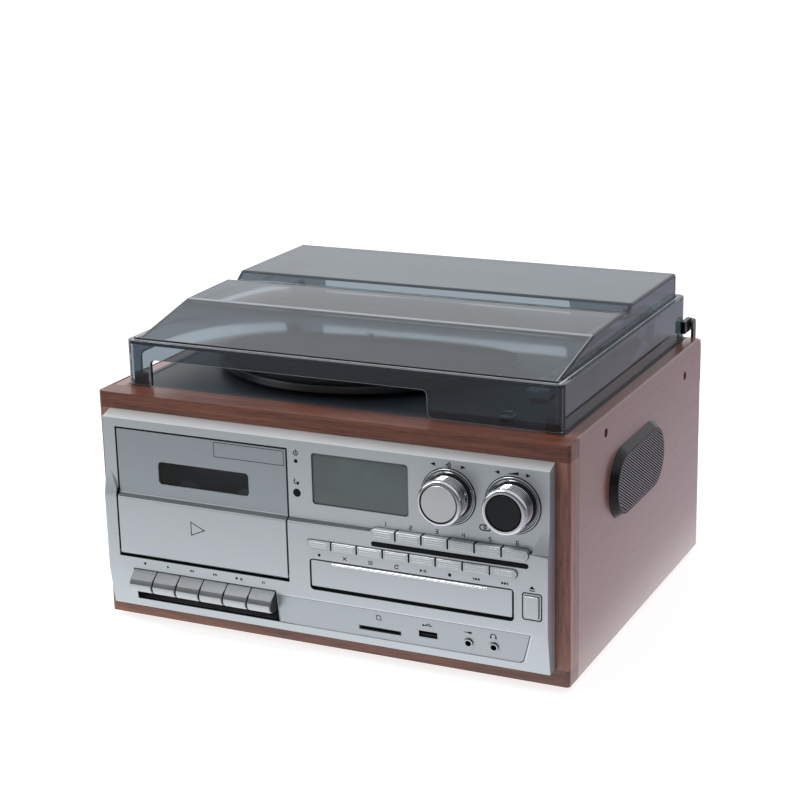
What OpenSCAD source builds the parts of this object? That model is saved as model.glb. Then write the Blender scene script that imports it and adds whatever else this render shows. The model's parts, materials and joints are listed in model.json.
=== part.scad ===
// Stereo music centre: a wooden cabinet with a turntable under a smoked lid, a cassette deck,
// a disc tray, a tuner panel and a speaker in each side.
// The origin is the middle of the footprint, on the surface that the feet stand on.
// X runs to the right, Y to the rear and Z up. Each module works from the front face of the
// wooden box (y = 0) and its underside (z = 0); place() moves it into the frame of the part.

/* [Cabinet] */
// Width over the side boards
cab_w = 315; // [310:1:380]
// Depth of the wooden box
cab_d = 253; // [250:1:290]
// Height of the wooden box
cab_h = 148; // [146:1:176]
// Thickness of a side board
side_t = 9.5; // [8:0.5:11]
// Depth of the front frame
frame_t = 15; // [13:0.5:18]
// Depth of the wooden rail in front of the deck
top_rail_d = 20; // [19:0.5:24]
// Thickness of the floor board
floor_t = 9; // [7:0.5:11]
// Thickness of the back panel
back_t = 3; // [2:0.5:4]
// Thickness of the turntable deck
deck_t = 3; // [2.5:0.5:4]
// Width of the frame beside the front panel
rim_side = 8.3; // [7:0.1:9]
// Height of the frame above the front panel
rim_top = 10; // [8:0.5:12]
// Height of the frame below the front panel
rim_bottom = 10; // [8:0.5:12]
// Radius of a rubber foot
foot_r = 10; // [7:0.5:13]
// Height of a rubber foot
foot_h = 4; // [3:0.5:8]
// Distance from a foot's centre to the edges of the box
foot_inset = 26; // [20:1:40]

/* [Front panel] */
// Wall of the front panel moulding
wall = 2.5; // [2:0.1:3]
// How far the upper part of the panel stands in front of the frame
upper_out = 9.5; // [8:0.5:12]
// How much further forward the lower part stands
lower_step = 3; // [2.5:0.5:4]
// Height of the ledge between the two parts
ledge_z = 85; // [84:0.5:88]
// Height of the ridge above the sloping chin
ridge_z = 36; // [34:0.5:37]
// How far the chin slopes back at its foot
chin_back = 4; // [2:0.5:6]
// Gap around the front panel in its frame
panel_gap = 0.3; // [0.2:0.1:0.5]

/* [Cassette deck] */
// Distance from the cassette door to the transport buttons
door_to_buttons = 13.6; // [12:0.1:16]
// Gap around the cassette door
door_gap = 1.2; // [1:0.1:1.6]
// Distance from the left edge of the panel to the door
door_margin = 9.7; // [8:0.1:12]
// Thickness of the door panel
door_t = 3; // [2.5:0.1:3.2]
// Width of the door's window
pane_w = 64; // [50:1:70]
// Height of the door's window
pane_h = 14.7; // [10:0.1:20]
// Distance from the door's edges to the ends of the row of six piano keys
key_margin = 8.75; // [7.5:0.05:11]
// Gap between two keys
key_gap = 0.8; // [0.6:0.1:1.2]
// Radius of the rod that the keys turn on
key_rod_r = 1.5; // [1.2:0.1:1.8]
// Distance between the two reel hubs
reel_span = 42.5; // [42:0.1:43]

/* [Radio and disc controls] */
// Width of the display
display_w = 63; // [55:0.5:66]
// Distance from the ledge up to the display
display_over_ledge = 11.2; // [9:0.1:14]
// Radius of the tuning and volume knobs
knob_r = 12.1; // [10:0.1:13]
// Length of a knob
knob_len = 13.5; // [10:0.5:16]
// Width of the ring around a knob
ring_w = 4; // [3:0.1:5]
// Spacing of the two knobs
knob_pitch = 40; // [37:0.5:42]
// Radius of a knob's shaft
knob_shaft_r = 3; // [2.5:0.1:3.5]
// Spacing of the six function buttons
fn_pitch = 16.8; // [15.5:0.1:17]
// Height of a function button
fn_h = 5.8; // [5:0.1:6]
// Spacing of the eight transport buttons
tr_pitch = 17.1; // [15.5:0.1:17.2]
// Height of a transport button
tr_h = 5.2; // [4.6:0.1:5.6]
// Gap between two buttons
button_gap = 0.8; // [0.5:0.1:1.2]
// Gap around what moves in the front panel
slide_gap = 0.4; // [0.3:0.1:0.6]
// Width of the disc tray's front
tray_w = 130; // [128:0.5:131]
// Height of the disc tray's front
tray_h = 16.6; // [16:0.1:18]
// Thickness of the tray behind its front
tray_t = 6; // [5:0.5:7]
// Radius of the disc recess in the tray
disc_r = 60.5; // [60.2:0.1:61]
// Width of the eject button
eject_w = 8.4; // [7:0.1:9]
// Height of the eject button
eject_h = 13; // [10:0.5:14]
// Bore of the two jack sockets
jack_r = 1.8; // [1.6:0.1:2.2]

/* [Turntable] */
// Radius of the platter
platter_r = 100; // [96:0.5:101]
// Height of the platter's rim
platter_h = 4.5; // [4:0.1:5]
// Thickness of the platter mat
mat_t = 2; // [1.5:0.1:2.5]
// Radius of the record spindle
spindle_r = 3.6; // [3.5:0.05:3.65]
// Height of the spindle above the mat
spindle_h = 15.5; // [13:0.5:16]
// Clearance of each turning shaft in its bore
shaft_fit = 0.05; // [0.03:0.01:0.08]
// Distance from the left side of the box to the spindle
spindle_from_left = 127; // [125:0.5:129]
// Distance from the front of the box to the spindle
spindle_from_front = 133; // [131:0.5:135]
// Radius of the arm tube
arm_r = 3.5; // [3:0.1:4]
// Distance from the right side of the box to the arm's pivot
arm_from_right = 33.5; // [33:0.5:36]
// Distance from the back of the box to the arm's pivot
arm_from_back = 35; // [33:0.5:37]
// Distance from the front of the box to the stylus of the parked arm
arm_from_front = 36; // [34:0.5:38]

/* [Lid] */
// Wall of the smoked lid
lid_wall = 2.5; // [2:0.1:3]
// Height of the skirt
skirt_h = 28.5; // [27:0.5:32]
// Width of the ledge above the skirt
lid_ledge = 5.5; // [4:0.5:7]
// Height from the ledge to the crease of the roof
roof_rise = 12.7; // [11:0.1:16]
// Depth of the groove across the roof
groove_depth = 3; // [2:0.5:4]
// Height of the record cut-outs in the skirt
cutout_h = 17; // [14:0.5:19]
// Radius of the hinge pins
hinge_r = 1.5; // [1.2:0.1:1.8]

/* [Speakers] */
// Radius of the round ends of a speaker housing
pod_r = 23.2; // [20:0.2:25]
// Distance between the centres of the round ends
pod_span = 52; // [46:1:60]
// How far a housing stands out of the side
pod_out = 4.5; // [4:0.5:6]
// Bevel of the housing's edge
pod_bevel = 3.9; // [3:0.1:4.5]
// Spacing of the grille's slats
slat_pitch = 1.6; // [1.4:0.1:2.4]
// Width of a slot between two slats
slot_w = 0.8; // [0.6:0.1:1]
// Slope of the slats
slat_angle = 29.5; // [10:0.5:45]

/* [Hidden] */
$fn = 48;
eps = 0.01;

// Colours
walnut = [0.42, 0.24, 0.18];
silver = [0.72, 0.74, 0.77];
chrome = [0.85, 0.86, 0.88];
soft_black = [0.07, 0.07, 0.08];
smoke = [0.35, 0.4, 0.44, 0.6];
steel = [0.6, 0.61, 0.63];
board_green = [0.1, 0.35, 0.2];

// Main planes
half_w = cab_w / 2;
in_w = cab_w - 2 * side_t;
top_z = cab_h - rim_top;
lower_out = upper_out + lower_step;
knob_reach = upper_out + 1.2 + knob_len;
lug_r = 4.2;
hinge_out = 2.5;
hinge_back = hinge_out + lug_r;
front_y = -(cab_d + hinge_back - knob_reach) / 2;

// Screws: the side boards' as distances from the front and from the top, and the back panel's
batten_w = 9;
batten_h = 20;
block_h = 16;
block_d = 14;
side_screws = [[61, 10], [cab_d - 35, 17]];
back_screws = [for (sx = [-1, 1], z = [floor_t + block_h / 2, cab_h - block_d])
    [sx * (in_w - batten_w) / 2, z]];
screw_sink = 3.2;
screw_well_r = 2.8;
screw_r = 1.5;
screw_hole_r = screw_r + 0.1;
screw_bite = 5;

// Front panel
fas_w = cab_w - 2 * rim_side - 2 * panel_gap;
fas_left = -fas_w / 2;
fas_right = fas_w / 2;
fas_foot = rim_bottom + panel_gap;
fas_top = top_z - panel_gap;
fas_back = 12;
top_bevel = 3;
chin_out = lower_out - chin_back;
chin_tilt = atan(chin_back / (ridge_z - fas_foot));
tunnel_t = 2;

// Rows of buttons: the left end of each row and its height
button_reach = 1.3;
button_travel = 1;
fn_x0 = fas_right - 11.2 - 6 * fn_pitch;
fn_z = ledge_z - 0.9;
tr_x0 = fas_right - 18.2 - 8 * tr_pitch;
tr_z = ledge_z - 13.2;

// Cassette deck: the door takes the width that the buttons leave
door_left = fas_left + door_margin;
door_right = tr_x0 - door_to_buttons;
door_w = door_right - door_left;
door_x = (door_left + door_right) / 2;
door_z0 = ridge_z + 9.7;
door_z1 = fas_top - 9.7;
well_x0 = door_left - door_gap - tunnel_t;
well_w = door_w + 2 * (door_gap + tunnel_t);
well_z0 = door_z0 - door_gap - tunnel_t;
well_z1 = door_z1 + door_gap + tunnel_t;
pane_z = (door_z1 + ledge_z) / 2 - 4.35;
foot_round = 1.9;
pivot_y = -(lower_out - foot_round);
pivot_z = door_z0 + 2.1;
pivot_r = 1;
reel_z = door_z0 + 39.5;
reel_r = 2;
holder_w = door_w - 14.7;
holder_wall = 1.6;
holder_foot = door_z0 + 5;
holder_d = 16;
flywheel_x = 26;
flywheel_r = 21;
flywheel_z = door_z0 + 24;
tape_motor_r = 15;
plate_t = 1.6;
key_pitch = (door_w - 2 * key_margin) / 6;
keys_w = 6 * key_pitch - key_gap;
cheek_t = 3;
key_z1 = ridge_z + 1;
key_z0 = key_z1 - 13;
key_bay_z0 = key_z1 - 21.5;
rod_y = 17;
rod_z = key_z1 - 7;
hub_r = 3.2;

// Radio and disc side
display_x = door_right + 17.5 + display_w / 2;
display_top = fas_top - 9.7;
display_h = display_top - ledge_z - display_over_ledge;
display_z = display_top - display_h / 2;
signal_x = door_right + 7;
knob_z = (fas_top + ledge_z) / 2 + 0.85;
lamp_z = fas_top - 16;
eye_z = ledge_z + 16.7;
volume_x = fas_right - 22.3;
tuning_x = volume_x - knob_pitch;
eject_x = fas_right - 5.4 - eject_w / 2;
tray_x = eject_x - eject_w / 2 - 8.2 - tray_w / 2;
tray_z = ridge_z + 17;
board_y = -3;
board_t = 1.6;
cell_y = -upper_out + wall + 0.6;

// Ports on the chin, placed by their drop below the ridge
port_drop = 13.2;
card_drop = port_drop + 1.7;
usb_drop = port_drop - 0.8;
card_x = fas_right - 108.4;
usb_x = fas_right - 76.6;
aux_x = fas_right - 50.5;
phones_x = fas_right - 34.4;
card_w = 28;
card_h = 2.9;
usb_w = 13.2;
usb_h = 5.3;
jack_ring_r = 2.9;

// Sockets at the rear and the power supply
inlet_x = -in_w / 2 + 34;
inlet_z = 34;
line_out_x = in_w / 2 - 44;
line_out_z = 34;
line_out_pitch = 16;
psu_w = 84;
psu_d = 64;
psu_x = -in_w / 2 + 26.5 + psu_w / 2;
psu_y = cab_d - back_t - 27 - psu_d / 2;
pillar_h = 6;
pillar_r = 3;

// Disc tray and loader
tray_front_t = 4;
tray_plate_w = tray_w - 6;
tray_back = 156;
tray_plate_z = tray_z - 3;
disc_y = disc_r - lower_out + tray_front_t + 4;
loader_front = 3;
loader_w = tray_plate_w + 10;

// Turntable
deck_z = cab_h;
plat_x = -half_w + spindle_from_left;
plat_y = spindle_from_front;
rim_z0 = deck_z + 3.5;
mat_z = rim_z0 + platter_h;
record_z = mat_z + mat_t;
bearing_r = spindle_r + 0.6;
bearing_top = mat_z + 0.8;
pin_z0 = record_z - 0.4;
pin_z1 = record_z + spindle_h - 2.5;
drum_r = 60;
pulley_r = 5;
motor_at = [plat_x + 45, plat_y - 55];
record_r = 151;
arm_x = half_w - arm_from_right;
arm_y = cab_d - arm_from_back;
arm_len = arm_y - arm_from_front;
arm_z = record_z + 10;
head_w = 13;
arm_reach = norm([arm_x - plat_x, arm_y - plat_y]);
arm_turn = asin((record_r + arm_r + 0.8) / arm_reach) - atan((arm_x - plat_x) / (arm_y - plat_y));
boss_r = 14;
boss_top = deck_z + 5;
cue_y = -30;
cue_z = arm_z - arm_r - 7;
cam_r = 6.4;
cam_off = 1.2;
switch_x = arm_x - 19;
switch_y = 38;

// Lid
lid_x = half_w - side_t - 1.5;
lid_front = 17.5;
lid_back = cab_d - 0.5;
lid_z = deck_z + 0.8;
cutout_gap = 3;
cutout_flare = 5.5;
ledge_top = lid_z + skirt_h;
crease_y = lid_front + 67;
groove_y = lid_front + 120;
hinge_y = cab_d + hinge_out;
hinge_z = deck_z + 9;
bracket_x = half_w - side_t + 2.5;
bracket_t = 1.6;
flange_w = 6.8;
flange_t = 1.5;
flange_x = bracket_x + bracket_t + 2.5;
flange_h = 26;
flange_z0 = cab_h - 4 - flange_h;
flange_holes = [flange_z0 + 6, flange_z0 + flange_h - 6];

// Speakers
pod_y = 116;
pod_z = cab_h - 49.7;
grille_r = pod_r - pod_bevel - 0.8;
grille_t = 1.6;
field_r = grille_r - 1.4;
cone_r = grille_r - 2;

module place() {
    translate([0, front_y, foot_h]) children();
}

// Extrudes a side profile, drawn as y and z, across the width w
module across(w) {
    translate([-w / 2, 0, 0]) rotate([90, 0, 90]) linear_extrude(w) children();
}

// The same with its middle at x
module across_at(x, w) {
    translate([x, 0, 0]) across(w) children();
}

// Extrudes a front profile, drawn as x and z, back from plane y over the depth d
module backward(y, d) {
    translate([0, y + d, 0]) rotate([90, 0, 0]) linear_extrude(d) children();
}

// Turns a cylinder to run from front to back, from plane y over the depth d
module rod_back(x, y, z, r, d) {
    translate([x, y, z]) rotate([-90, 0, 0]) cylinder(r = r, h = d);
}

module rounded_rect(w, h, r) {
    square([w - 2 * r, h], center = true);
    square([w, h - 2 * r], center = true);
    for (sx = [-1, 1], sy = [-1, 1]) translate([sx * (w / 2 - r), sy * (h / 2 - r)]) circle(r = r);
}

// A bar with round ends, as long as w overall
module pill(w, h) {
    square([w - h, h], center = true);
    for (s = [-1, 1]) translate([s * (w - h) / 2, 0]) circle(d = h);
}

// A board with two round front corners, seen from above
module front_board(w, d, r) {
    translate([-w / 2, r]) square([w, d - r]);
    translate([-w / 2 + r, 0]) square([w - 2 * r, r + eps]);
    for (s = [-1, 1]) translate([s * (w / 2 - r), r]) circle(r = r);
}

module front_frame() {
    color(walnut) difference() {
        union() {
            linear_extrude(cab_h) front_board(cab_w, frame_t, 2.5);
            translate([-in_w / 2, frame_t - eps, top_z])
                cube([in_w, top_rail_d - frame_t + eps, rim_top]);
        }
        translate([-half_w + rim_side, -1, rim_bottom])
            cube([cab_w - 2 * rim_side, frame_t + 1 + 2 * eps, top_z - rim_bottom]);
    }
}

module side_board() {
    difference() {
        union() {
            translate([-half_w, frame_t, 0]) cube([side_t, cab_d - frame_t, cab_h]);
            // batten that the deck lies on, and a block for the lower screw of the back panel
            translate([-in_w / 2 - eps, top_rail_d + 2, cab_h - deck_t - batten_h])
                cube([batten_w, cab_d - back_t - top_rail_d - 2, batten_h]);
            translate([-in_w / 2 - eps, cab_d - back_t - block_d, floor_t])
                cube([batten_w, block_d, block_h]);
        }
        // the upper outer edge is eased
        translate([-half_w, frame_t - 1, cab_h]) rotate([0, 45, 0])
            cube([1.4, cab_d, 1.4]);
        translate([-half_w - 1, pod_y, pod_z]) rotate([90, 0, 90])
            linear_extrude(side_t + 2) pill(pod_span + 2 * cone_r, 2 * cone_r);
        for (s = side_screws) translate([-half_w - 1, s[0], cab_h - s[1]]) rotate([0, 90, 0]) {
            cylinder(r = screw_well_r, h = screw_sink + 1);
            cylinder(r = screw_hole_r, h = side_t + 7);
        }
        for (z = flange_holes) rod_back(-flange_x, cab_d - 8, z, screw_hole_r, 9);
        for (s = back_screws) rod_back(-abs(s[0]), cab_d - back_t - 8, s[1], screw_hole_r, 9);
    }
}

module side_panels() {
    color(walnut) {
        side_board();
        mirror([1, 0, 0]) side_board();
    }
}

module bottom_panel() {
    color("#2b2622") difference() {
        translate([-in_w / 2, frame_t, 0]) cube([in_w, cab_d - frame_t - back_t, floor_t]);
        for (i = [0 : 6], s = [-1, 1])
            translate([s * in_w / 4 - 20, cab_d / 2 - 42 + 14 * i, -1]) cube([40, 4, floor_t + 2]);
    }
}

module rear_panel() {
    color(soft_black) difference() {
        translate([-in_w / 2, cab_d - back_t, 0]) cube([in_w, back_t, cab_h - deck_t]);
        for (row = [0 : 5], side = [-1, 1])
            translate([side * in_w / 5 - 24, cab_d - back_t - 1, cab_h - 66 + 7 * row])
                cube([48, back_t + 2, 3]);
        translate([0, 0, inlet_z]) backward(cab_d - back_t - 1, back_t + 2)
            translate([inlet_x, 0]) rounded_rect(23.4, 13.4, 2);
        for (i = [0, 1])
            rod_back(line_out_x + i * line_out_pitch, cab_d - back_t - 1, line_out_z, 5.2, back_t + 2);
        for (s = back_screws) rod_back(s[0], cab_d - back_t - 1, s[1], screw_hole_r, back_t + 2);
    }
}

module deck_plate() {
    color(soft_black) difference() {
        union() {
            translate([-in_w / 2, top_rail_d, deck_z - deck_t])
                cube([in_w, cab_d - top_rail_d, deck_t]);
            // boss that carries the arm
            translate([arm_x, arm_y, deck_z - deck_t])
                cylinder(r = boss_r, h = boss_top - deck_z + deck_t);
            // blocks that centre the lid
            for (s = [-1, 1])
                translate([s * (lid_x - lid_wall - 5) - 4, lid_front + lid_wall + 1, deck_z - eps])
                    cube([8, 5, 8]);
            // raised strips under the lid's sides
            for (s = [-1, 1])
                translate([s * (lid_x - lid_wall / 2) - lid_wall / 2, top_rail_d + 1, deck_z - eps])
                    cube([lid_wall, cab_d - top_rail_d - 3, 0.4]);
        }
        translate([plat_x, plat_y, deck_z - deck_t - 1]) cylinder(r = 6 + shaft_fit, h = deck_t + 2);
        translate([motor_at[0], motor_at[1], deck_z - deck_t - 1]) cylinder(r = pulley_r + 2, h = deck_t + 2);
        translate([arm_x, arm_y, deck_z - deck_t - 1]) cylinder(r = 4 + shaft_fit, h = deck_t + 7);
        translate([switch_x - 2, switch_y - 8, deck_z - deck_t - 1]) cube([4, 16, deck_t + 2]);
    }
}

// Outline of the front panel from the side: the chin, the lower part, the ledge and the upper part
function panel_outline(t, back) = [
    [back, fas_foot + t],
    [-chin_out + t, fas_foot + t],
    [-lower_out + t * 1.05, ridge_z + t * 0.2],
    [-lower_out + t, ledge_z - t * 0.9],
    [-upper_out + t, ledge_z + 0.8 - t * 0.9],
    [-upper_out + t, fas_top - top_bevel - t * 0.3],
    [-1 + t * 0.4, fas_top - t],
    [back, fas_top - t]];

// Moves to the ridge and tilts, so that z runs up the sloping chin and -y points out of it
module chin_frame() {
    translate([0, -lower_out, ridge_z]) rotate([chin_tilt, 0, 0]) children();
}

module fascia_cuts() {
    // cassette well and key bay
    translate([door_left - door_gap, -lower_out - 1, door_z0 - door_gap])
        cube([door_w + 2 * door_gap, fas_back + lower_out + 2, door_z1 - door_z0 + 2 * door_gap]);
    for (s = [-1, 1]) translate([door_x + s * (door_w / 2 + door_gap), pivot_y, pivot_z]) rotate([0, 90, 0])
        cylinder(r = pivot_r + shaft_fit, h = 2 * tunnel_t - 1, center = true);
    translate([door_x - keys_w / 2 - 0.6, -lower_out - 1, key_bay_z0])
        cube([keys_w + 1.2, lower_out + wall, key_z1 - key_bay_z0 + 0.4]);
    // display opening with a lip that the window sits on
    translate([display_x, 0, display_z]) backward(-upper_out - 1, 3) rounded_rect(display_w, display_h, 2);
    translate([display_x, 0, display_z]) backward(-upper_out - 1, wall + 2)
        rounded_rect(display_w - 5, display_h - 5, 1);
    rod_back(signal_x, -upper_out - 1, lamp_z, 1.25, wall + 2);
    rod_back(signal_x, -upper_out - 1, eye_z, 2.6, wall + 2);
    for (x = [tuning_x, volume_x])
        rod_back(x, -upper_out - 1, knob_z, knob_shaft_r + shaft_fit, wall + 2);
    // rows of buttons
    translate([fn_x0 + 3 * fn_pitch, 0, fn_z]) backward(-lower_out - 1, lower_out - board_y)
        pill(6 * fn_pitch - button_gap + 2 * slide_gap, fn_h + 2 * slide_gap);
    translate([tr_x0 + 4 * tr_pitch, 0, tr_z]) backward(-lower_out - 1, wall + 2)
        pill(8 * tr_pitch - button_gap + 2 * slide_gap, tr_h + 2 * slide_gap);
    // disc tray and its button
    translate([tray_x, 0, tray_z]) backward(-lower_out - 1, wall + 2)
        rounded_rect(tray_w + 3 * slide_gap, tray_h + 3 * slide_gap, 1);
    translate([eject_x, 0, tray_z]) backward(-lower_out - 1, wall + 2)
        square([eject_w + 2 * slide_gap, eject_h + 2 * slide_gap], center = true);
    // shallow field on the chin, and the ports in it
    chin_frame() {
        translate([0, -1, 0]) backward(0, 1.5) polygon([[door_right - 8.5, -1], [fas_right - 10.5, -1],
            [fas_right - 15.8, -19.5], [fas_right - 18, -21], [door_right - 8.5, -21]]);
        translate([card_x, 0, -card_drop]) backward(-1, wall + 2) square([card_w, card_h], center = true);
        translate([usb_x, 0, -usb_drop]) backward(-1, wall + 2) square([usb_w, usb_h], center = true);
        for (x = [aux_x, phones_x]) rod_back(x, -1, -port_drop, jack_ring_r, wall + 2);
    }
}

module fascia() {
    color(silver) difference() {
        union() {
            difference() {
                across(fas_w) polygon(panel_outline(0, fas_back));
                across(fas_w - 2 * wall) polygon(panel_outline(wall, fas_back + 1));
            }
            // walls of the cassette well
            translate([well_x0, -upper_out + wall - eps, well_z0])
                cube([well_w, fas_back + upper_out - wall + eps, well_z1 - well_z0]);
            translate([well_x0, -lower_out + wall - eps, well_z0])
                cube([well_w, lower_step + 2 * eps, ledge_z - 2 - well_z0]);
            // sloping facets where the ledge meets the sides
            for (m = [0, 1]) mirror([m, 0, 0]) intersection() {
                across(fas_w) polygon([[-upper_out + eps, ledge_z - 1.5], [-lower_out, ledge_z - 1],
                    [-upper_out, ledge_z + 14.2]]);
                backward(-lower_out - 1, lower_out) polygon([[fas_right - 10.8, ledge_z - 1.6],
                    [fas_right, ledge_z - 1.6], [fas_right, ledge_z + 15], [fas_right - 3.6, ledge_z + 15]]);
            }
            // the door's pins turn in the lower corners of the well
            for (s = [-1, 1]) translate([door_x + s * (well_w - tunnel_t) / 2, pivot_y + 2, pivot_z])
                cube([tunnel_t, 6, 8], center = true);
            // posts that carry the main board
            for (x = [display_x - 38, fas_right - 8], z = [ledge_z + 8, fas_top - 8])
                rod_back(x, -upper_out + wall - eps, z, 3, upper_out - wall + board_y + eps);
        }
        fascia_cuts();
    }
}

module display_window() {
    color("#5c6464") translate([display_x, 0, display_z]) {
        backward(-upper_out + 0.5, 1.5) rounded_rect(display_w - 0.4, display_h - 0.4, 1.8);
        backward(-upper_out + 2 - eps, wall - 1.5) rounded_rect(display_w - 5.4, display_h - 5.4, 0.8);
    }
}

module knob_rings() {
    color(chrome) for (x = [tuning_x, volume_x]) difference() {
        rod_back(x, -upper_out - 1.2, knob_z, knob_r + ring_w + 1.2, 1.2);
        rod_back(x, -upper_out - 2, knob_z, knob_r + 0.6, 1.5);
        rod_back(x, -upper_out - 2, knob_z, knob_shaft_r + 0.6, 3);
    }
}

// A bar with round ends that narrows outwards, on the outer face of the left side
module pod_shape(r0, r1, x0, x1) {
    hull() for (s = [-1, 1]) translate([x0, pod_y + s * pod_span / 2, pod_z]) rotate([0, -90, 0])
        cylinder(r1 = r0, r2 = r1, h = x0 - x1);
}

// A bar with round ends that runs inwards from the plane x over the depth d, on the left side
module pod_bar(r, x, d) {
    translate([x, pod_y, pod_z]) rotate([90, 0, 90]) linear_extrude(d) pill(pod_span + 2 * r, 2 * r);
}

module speaker_housing() {
    difference() {
        pod_shape(pod_r, pod_r - pod_bevel, -half_w, -half_w - pod_out);
        pod_bar(grille_r, -half_w - pod_out - 1, grille_t + 1);
        pod_bar(field_r, -half_w - pod_out - 1, pod_out + 2);
    }
}

module speaker_housings() {
    color(soft_black) {
        speaker_housing();
        mirror([1, 0, 0]) speaker_housing();
    }
}

// A plate with a field of sloping slots. The field is a bar with round ends of radius field_r, and
// the slots end at its outline.
module speaker_grille() {
    reach = pod_span / 2 + field_r;
    count = floor((field_r + pod_span / 2 * sin(slat_angle) - slot_w) / slat_pitch);
    translate([-half_w - pod_out, pod_y, pod_z]) rotate([90, 0, 90]) linear_extrude(grille_t) difference() {
        pill(pod_span + 2 * (grille_r - 0.2), 2 * (grille_r - 0.2));
        intersection() {
            pill(pod_span + 2 * field_r, 2 * field_r);
            rotate(-slat_angle) for (i = [-count : count])
                translate([-reach, i * slat_pitch - slot_w / 2]) square([2 * reach, slot_w]);
        }
    }
}

module speaker_grilles() {
    color([0.3, 0.31, 0.33]) {
        speaker_grille();
        mirror([1, 0, 0]) speaker_grille();
    }
}

// A racetrack driver: its frame is held behind the board, and its cone looks out through the hole
module speaker_driver() {
    pod_bar(cone_r + 4, -half_w + side_t, 2.5);
    difference() {
        pod_bar(cone_r - 0.4, -half_w + side_t - 2, 4);
        pod_bar(cone_r - 3, -half_w + side_t - 3, 2.6);
    }
    translate([-half_w + side_t + 2.5, pod_y, pod_z]) rotate([0, 90, 0]) {
        cylinder(r1 = cone_r + 2, r2 = 12, h = 9);
        cylinder(r = 15, h = 20);
    }
    translate([-half_w + side_t - 0.4 + eps, pod_y, pod_z]) rotate([0, -90, 0])
        cylinder(r1 = 7, r2 = 4.5, h = 2);
}

module speaker_drivers() {
    color([0.15, 0.15, 0.16]) {
        speaker_driver();
        mirror([1, 0, 0]) speaker_driver();
    }
}

module rubber_feet() {
    color(soft_black) for (sx = [-1, 1], y = [foot_inset, cab_d - foot_inset])
        translate([sx * (half_w - foot_inset), y, -foot_h]) {
            cylinder(r1 = foot_r - 1, r2 = foot_r, h = 1 + eps);
            translate([0, 0, 1]) cylinder(r = foot_r, h = foot_h - 1);
        }
}

// A screw whose head's underside lies at the origin and whose shank runs along +Z
module screw(head_r, head_h, shank) {
    difference() {
        translate([0, 0, -head_h]) cylinder(r = head_r, h = head_h);
        for (a = [0, 90]) rotate(a) translate([-0.4, -head_r * 0.65, -head_h - 1])
            cube([0.8, head_r * 1.3, 1.6]);
    }
    translate([0, 0, -eps]) cylinder(r = screw_r, h = shank + eps);
}

module screws() {
    color(steel) {
        for (m = [0, 1]) mirror([m, 0, 0]) {
            for (s = side_screws) translate([-half_w + screw_sink, s[0], cab_h - s[1]]) rotate([0, 90, 0])
                screw(screw_well_r - 0.2, 1.6, side_t - screw_sink + screw_bite);
            for (z = flange_holes) translate([flange_x, cab_d + flange_t, z]) rotate([90, 0, 0])
                screw(2.2, 1.2, flange_t + screw_bite + 2);
        }
        for (s = back_screws) translate([s[0], cab_d, s[1]]) rotate([90, 0, 0])
            screw(2.8, 1.4, back_t + screw_bite + 2);
    }
}

module hinge_bracket() {
    difference() {
        union() {
            translate([bracket_x, cab_d, flange_z0]) cube([flange_w, flange_t, flange_h]);
            translate([bracket_x, 0, 0]) rotate([90, 0, 90]) linear_extrude(bracket_t) {
                translate([cab_d, flange_z0]) square([hinge_back - 0.5, hinge_z - flange_z0]);
                translate([hinge_y, hinge_z]) circle(r = lug_r - 0.5);
            }
        }
        for (z = flange_holes) rod_back(flange_x, cab_d - 1, z, screw_hole_r, hinge_back + 4);
    }
    // the pin that the lid's lug turns on
    translate([lid_x + 0.3, hinge_y, hinge_z]) rotate([0, 90, 0])
        cylinder(r = hinge_r, h = bracket_x - lid_x + eps);
}

module hinge_brackets() {
    color(steel) {
        hinge_bracket();
        mirror([1, 0, 0]) hinge_bracket();
    }
}

module lid_hinge() {
    translate([lid_x, 0, 0]) rotate([90, 0, 90]) linear_extrude(bracket_x - lid_x - 0.6) difference() {
        union() {
            translate([hinge_y - 14, hinge_z - lug_r]) square([14, 2 * lug_r]);
            translate([hinge_y, hinge_z]) circle(r = lug_r);
        }
        translate([hinge_y, hinge_z]) circle(r = hinge_r + shaft_fit);
    }
}

module lid_hinges() {
    color(soft_black) {
        lid_hinge();
        mirror([1, 0, 0]) lid_hinge();
    }
}

module port_sockets() {
    chin_frame() {
        // card slot: a black liner with an open mouth
        color(soft_black) translate([card_x, 0, -card_drop]) difference() {
            backward(0.5, 16) square([card_w - 0.3, card_h - 0.2], center = true);
            backward(0.4, 14) square([card_w - 2, card_h - 1.2], center = true);
        }
        // host socket: a bright shell with a tongue
        color(chrome) translate([usb_x, 0, -usb_drop]) {
            difference() {
                backward(0.5, 16) square([usb_w - 0.3, usb_h - 0.2], center = true);
                backward(0.4, 14) square([usb_w - 1.1, usb_h - 1], center = true);
            }
            translate([0, 0, -usb_h / 4]) backward(2, 13) square([usb_w - 3, 1.6], center = true);
        }
    }
}

module jack_sockets() {
    color(chrome) chin_frame() for (x = [aux_x, phones_x]) difference() {
        rod_back(x, -0.6, -port_drop, jack_ring_r - 0.05, 16);
        rod_back(x, -1, -port_drop, jack_r, 14);
    }
}

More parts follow.
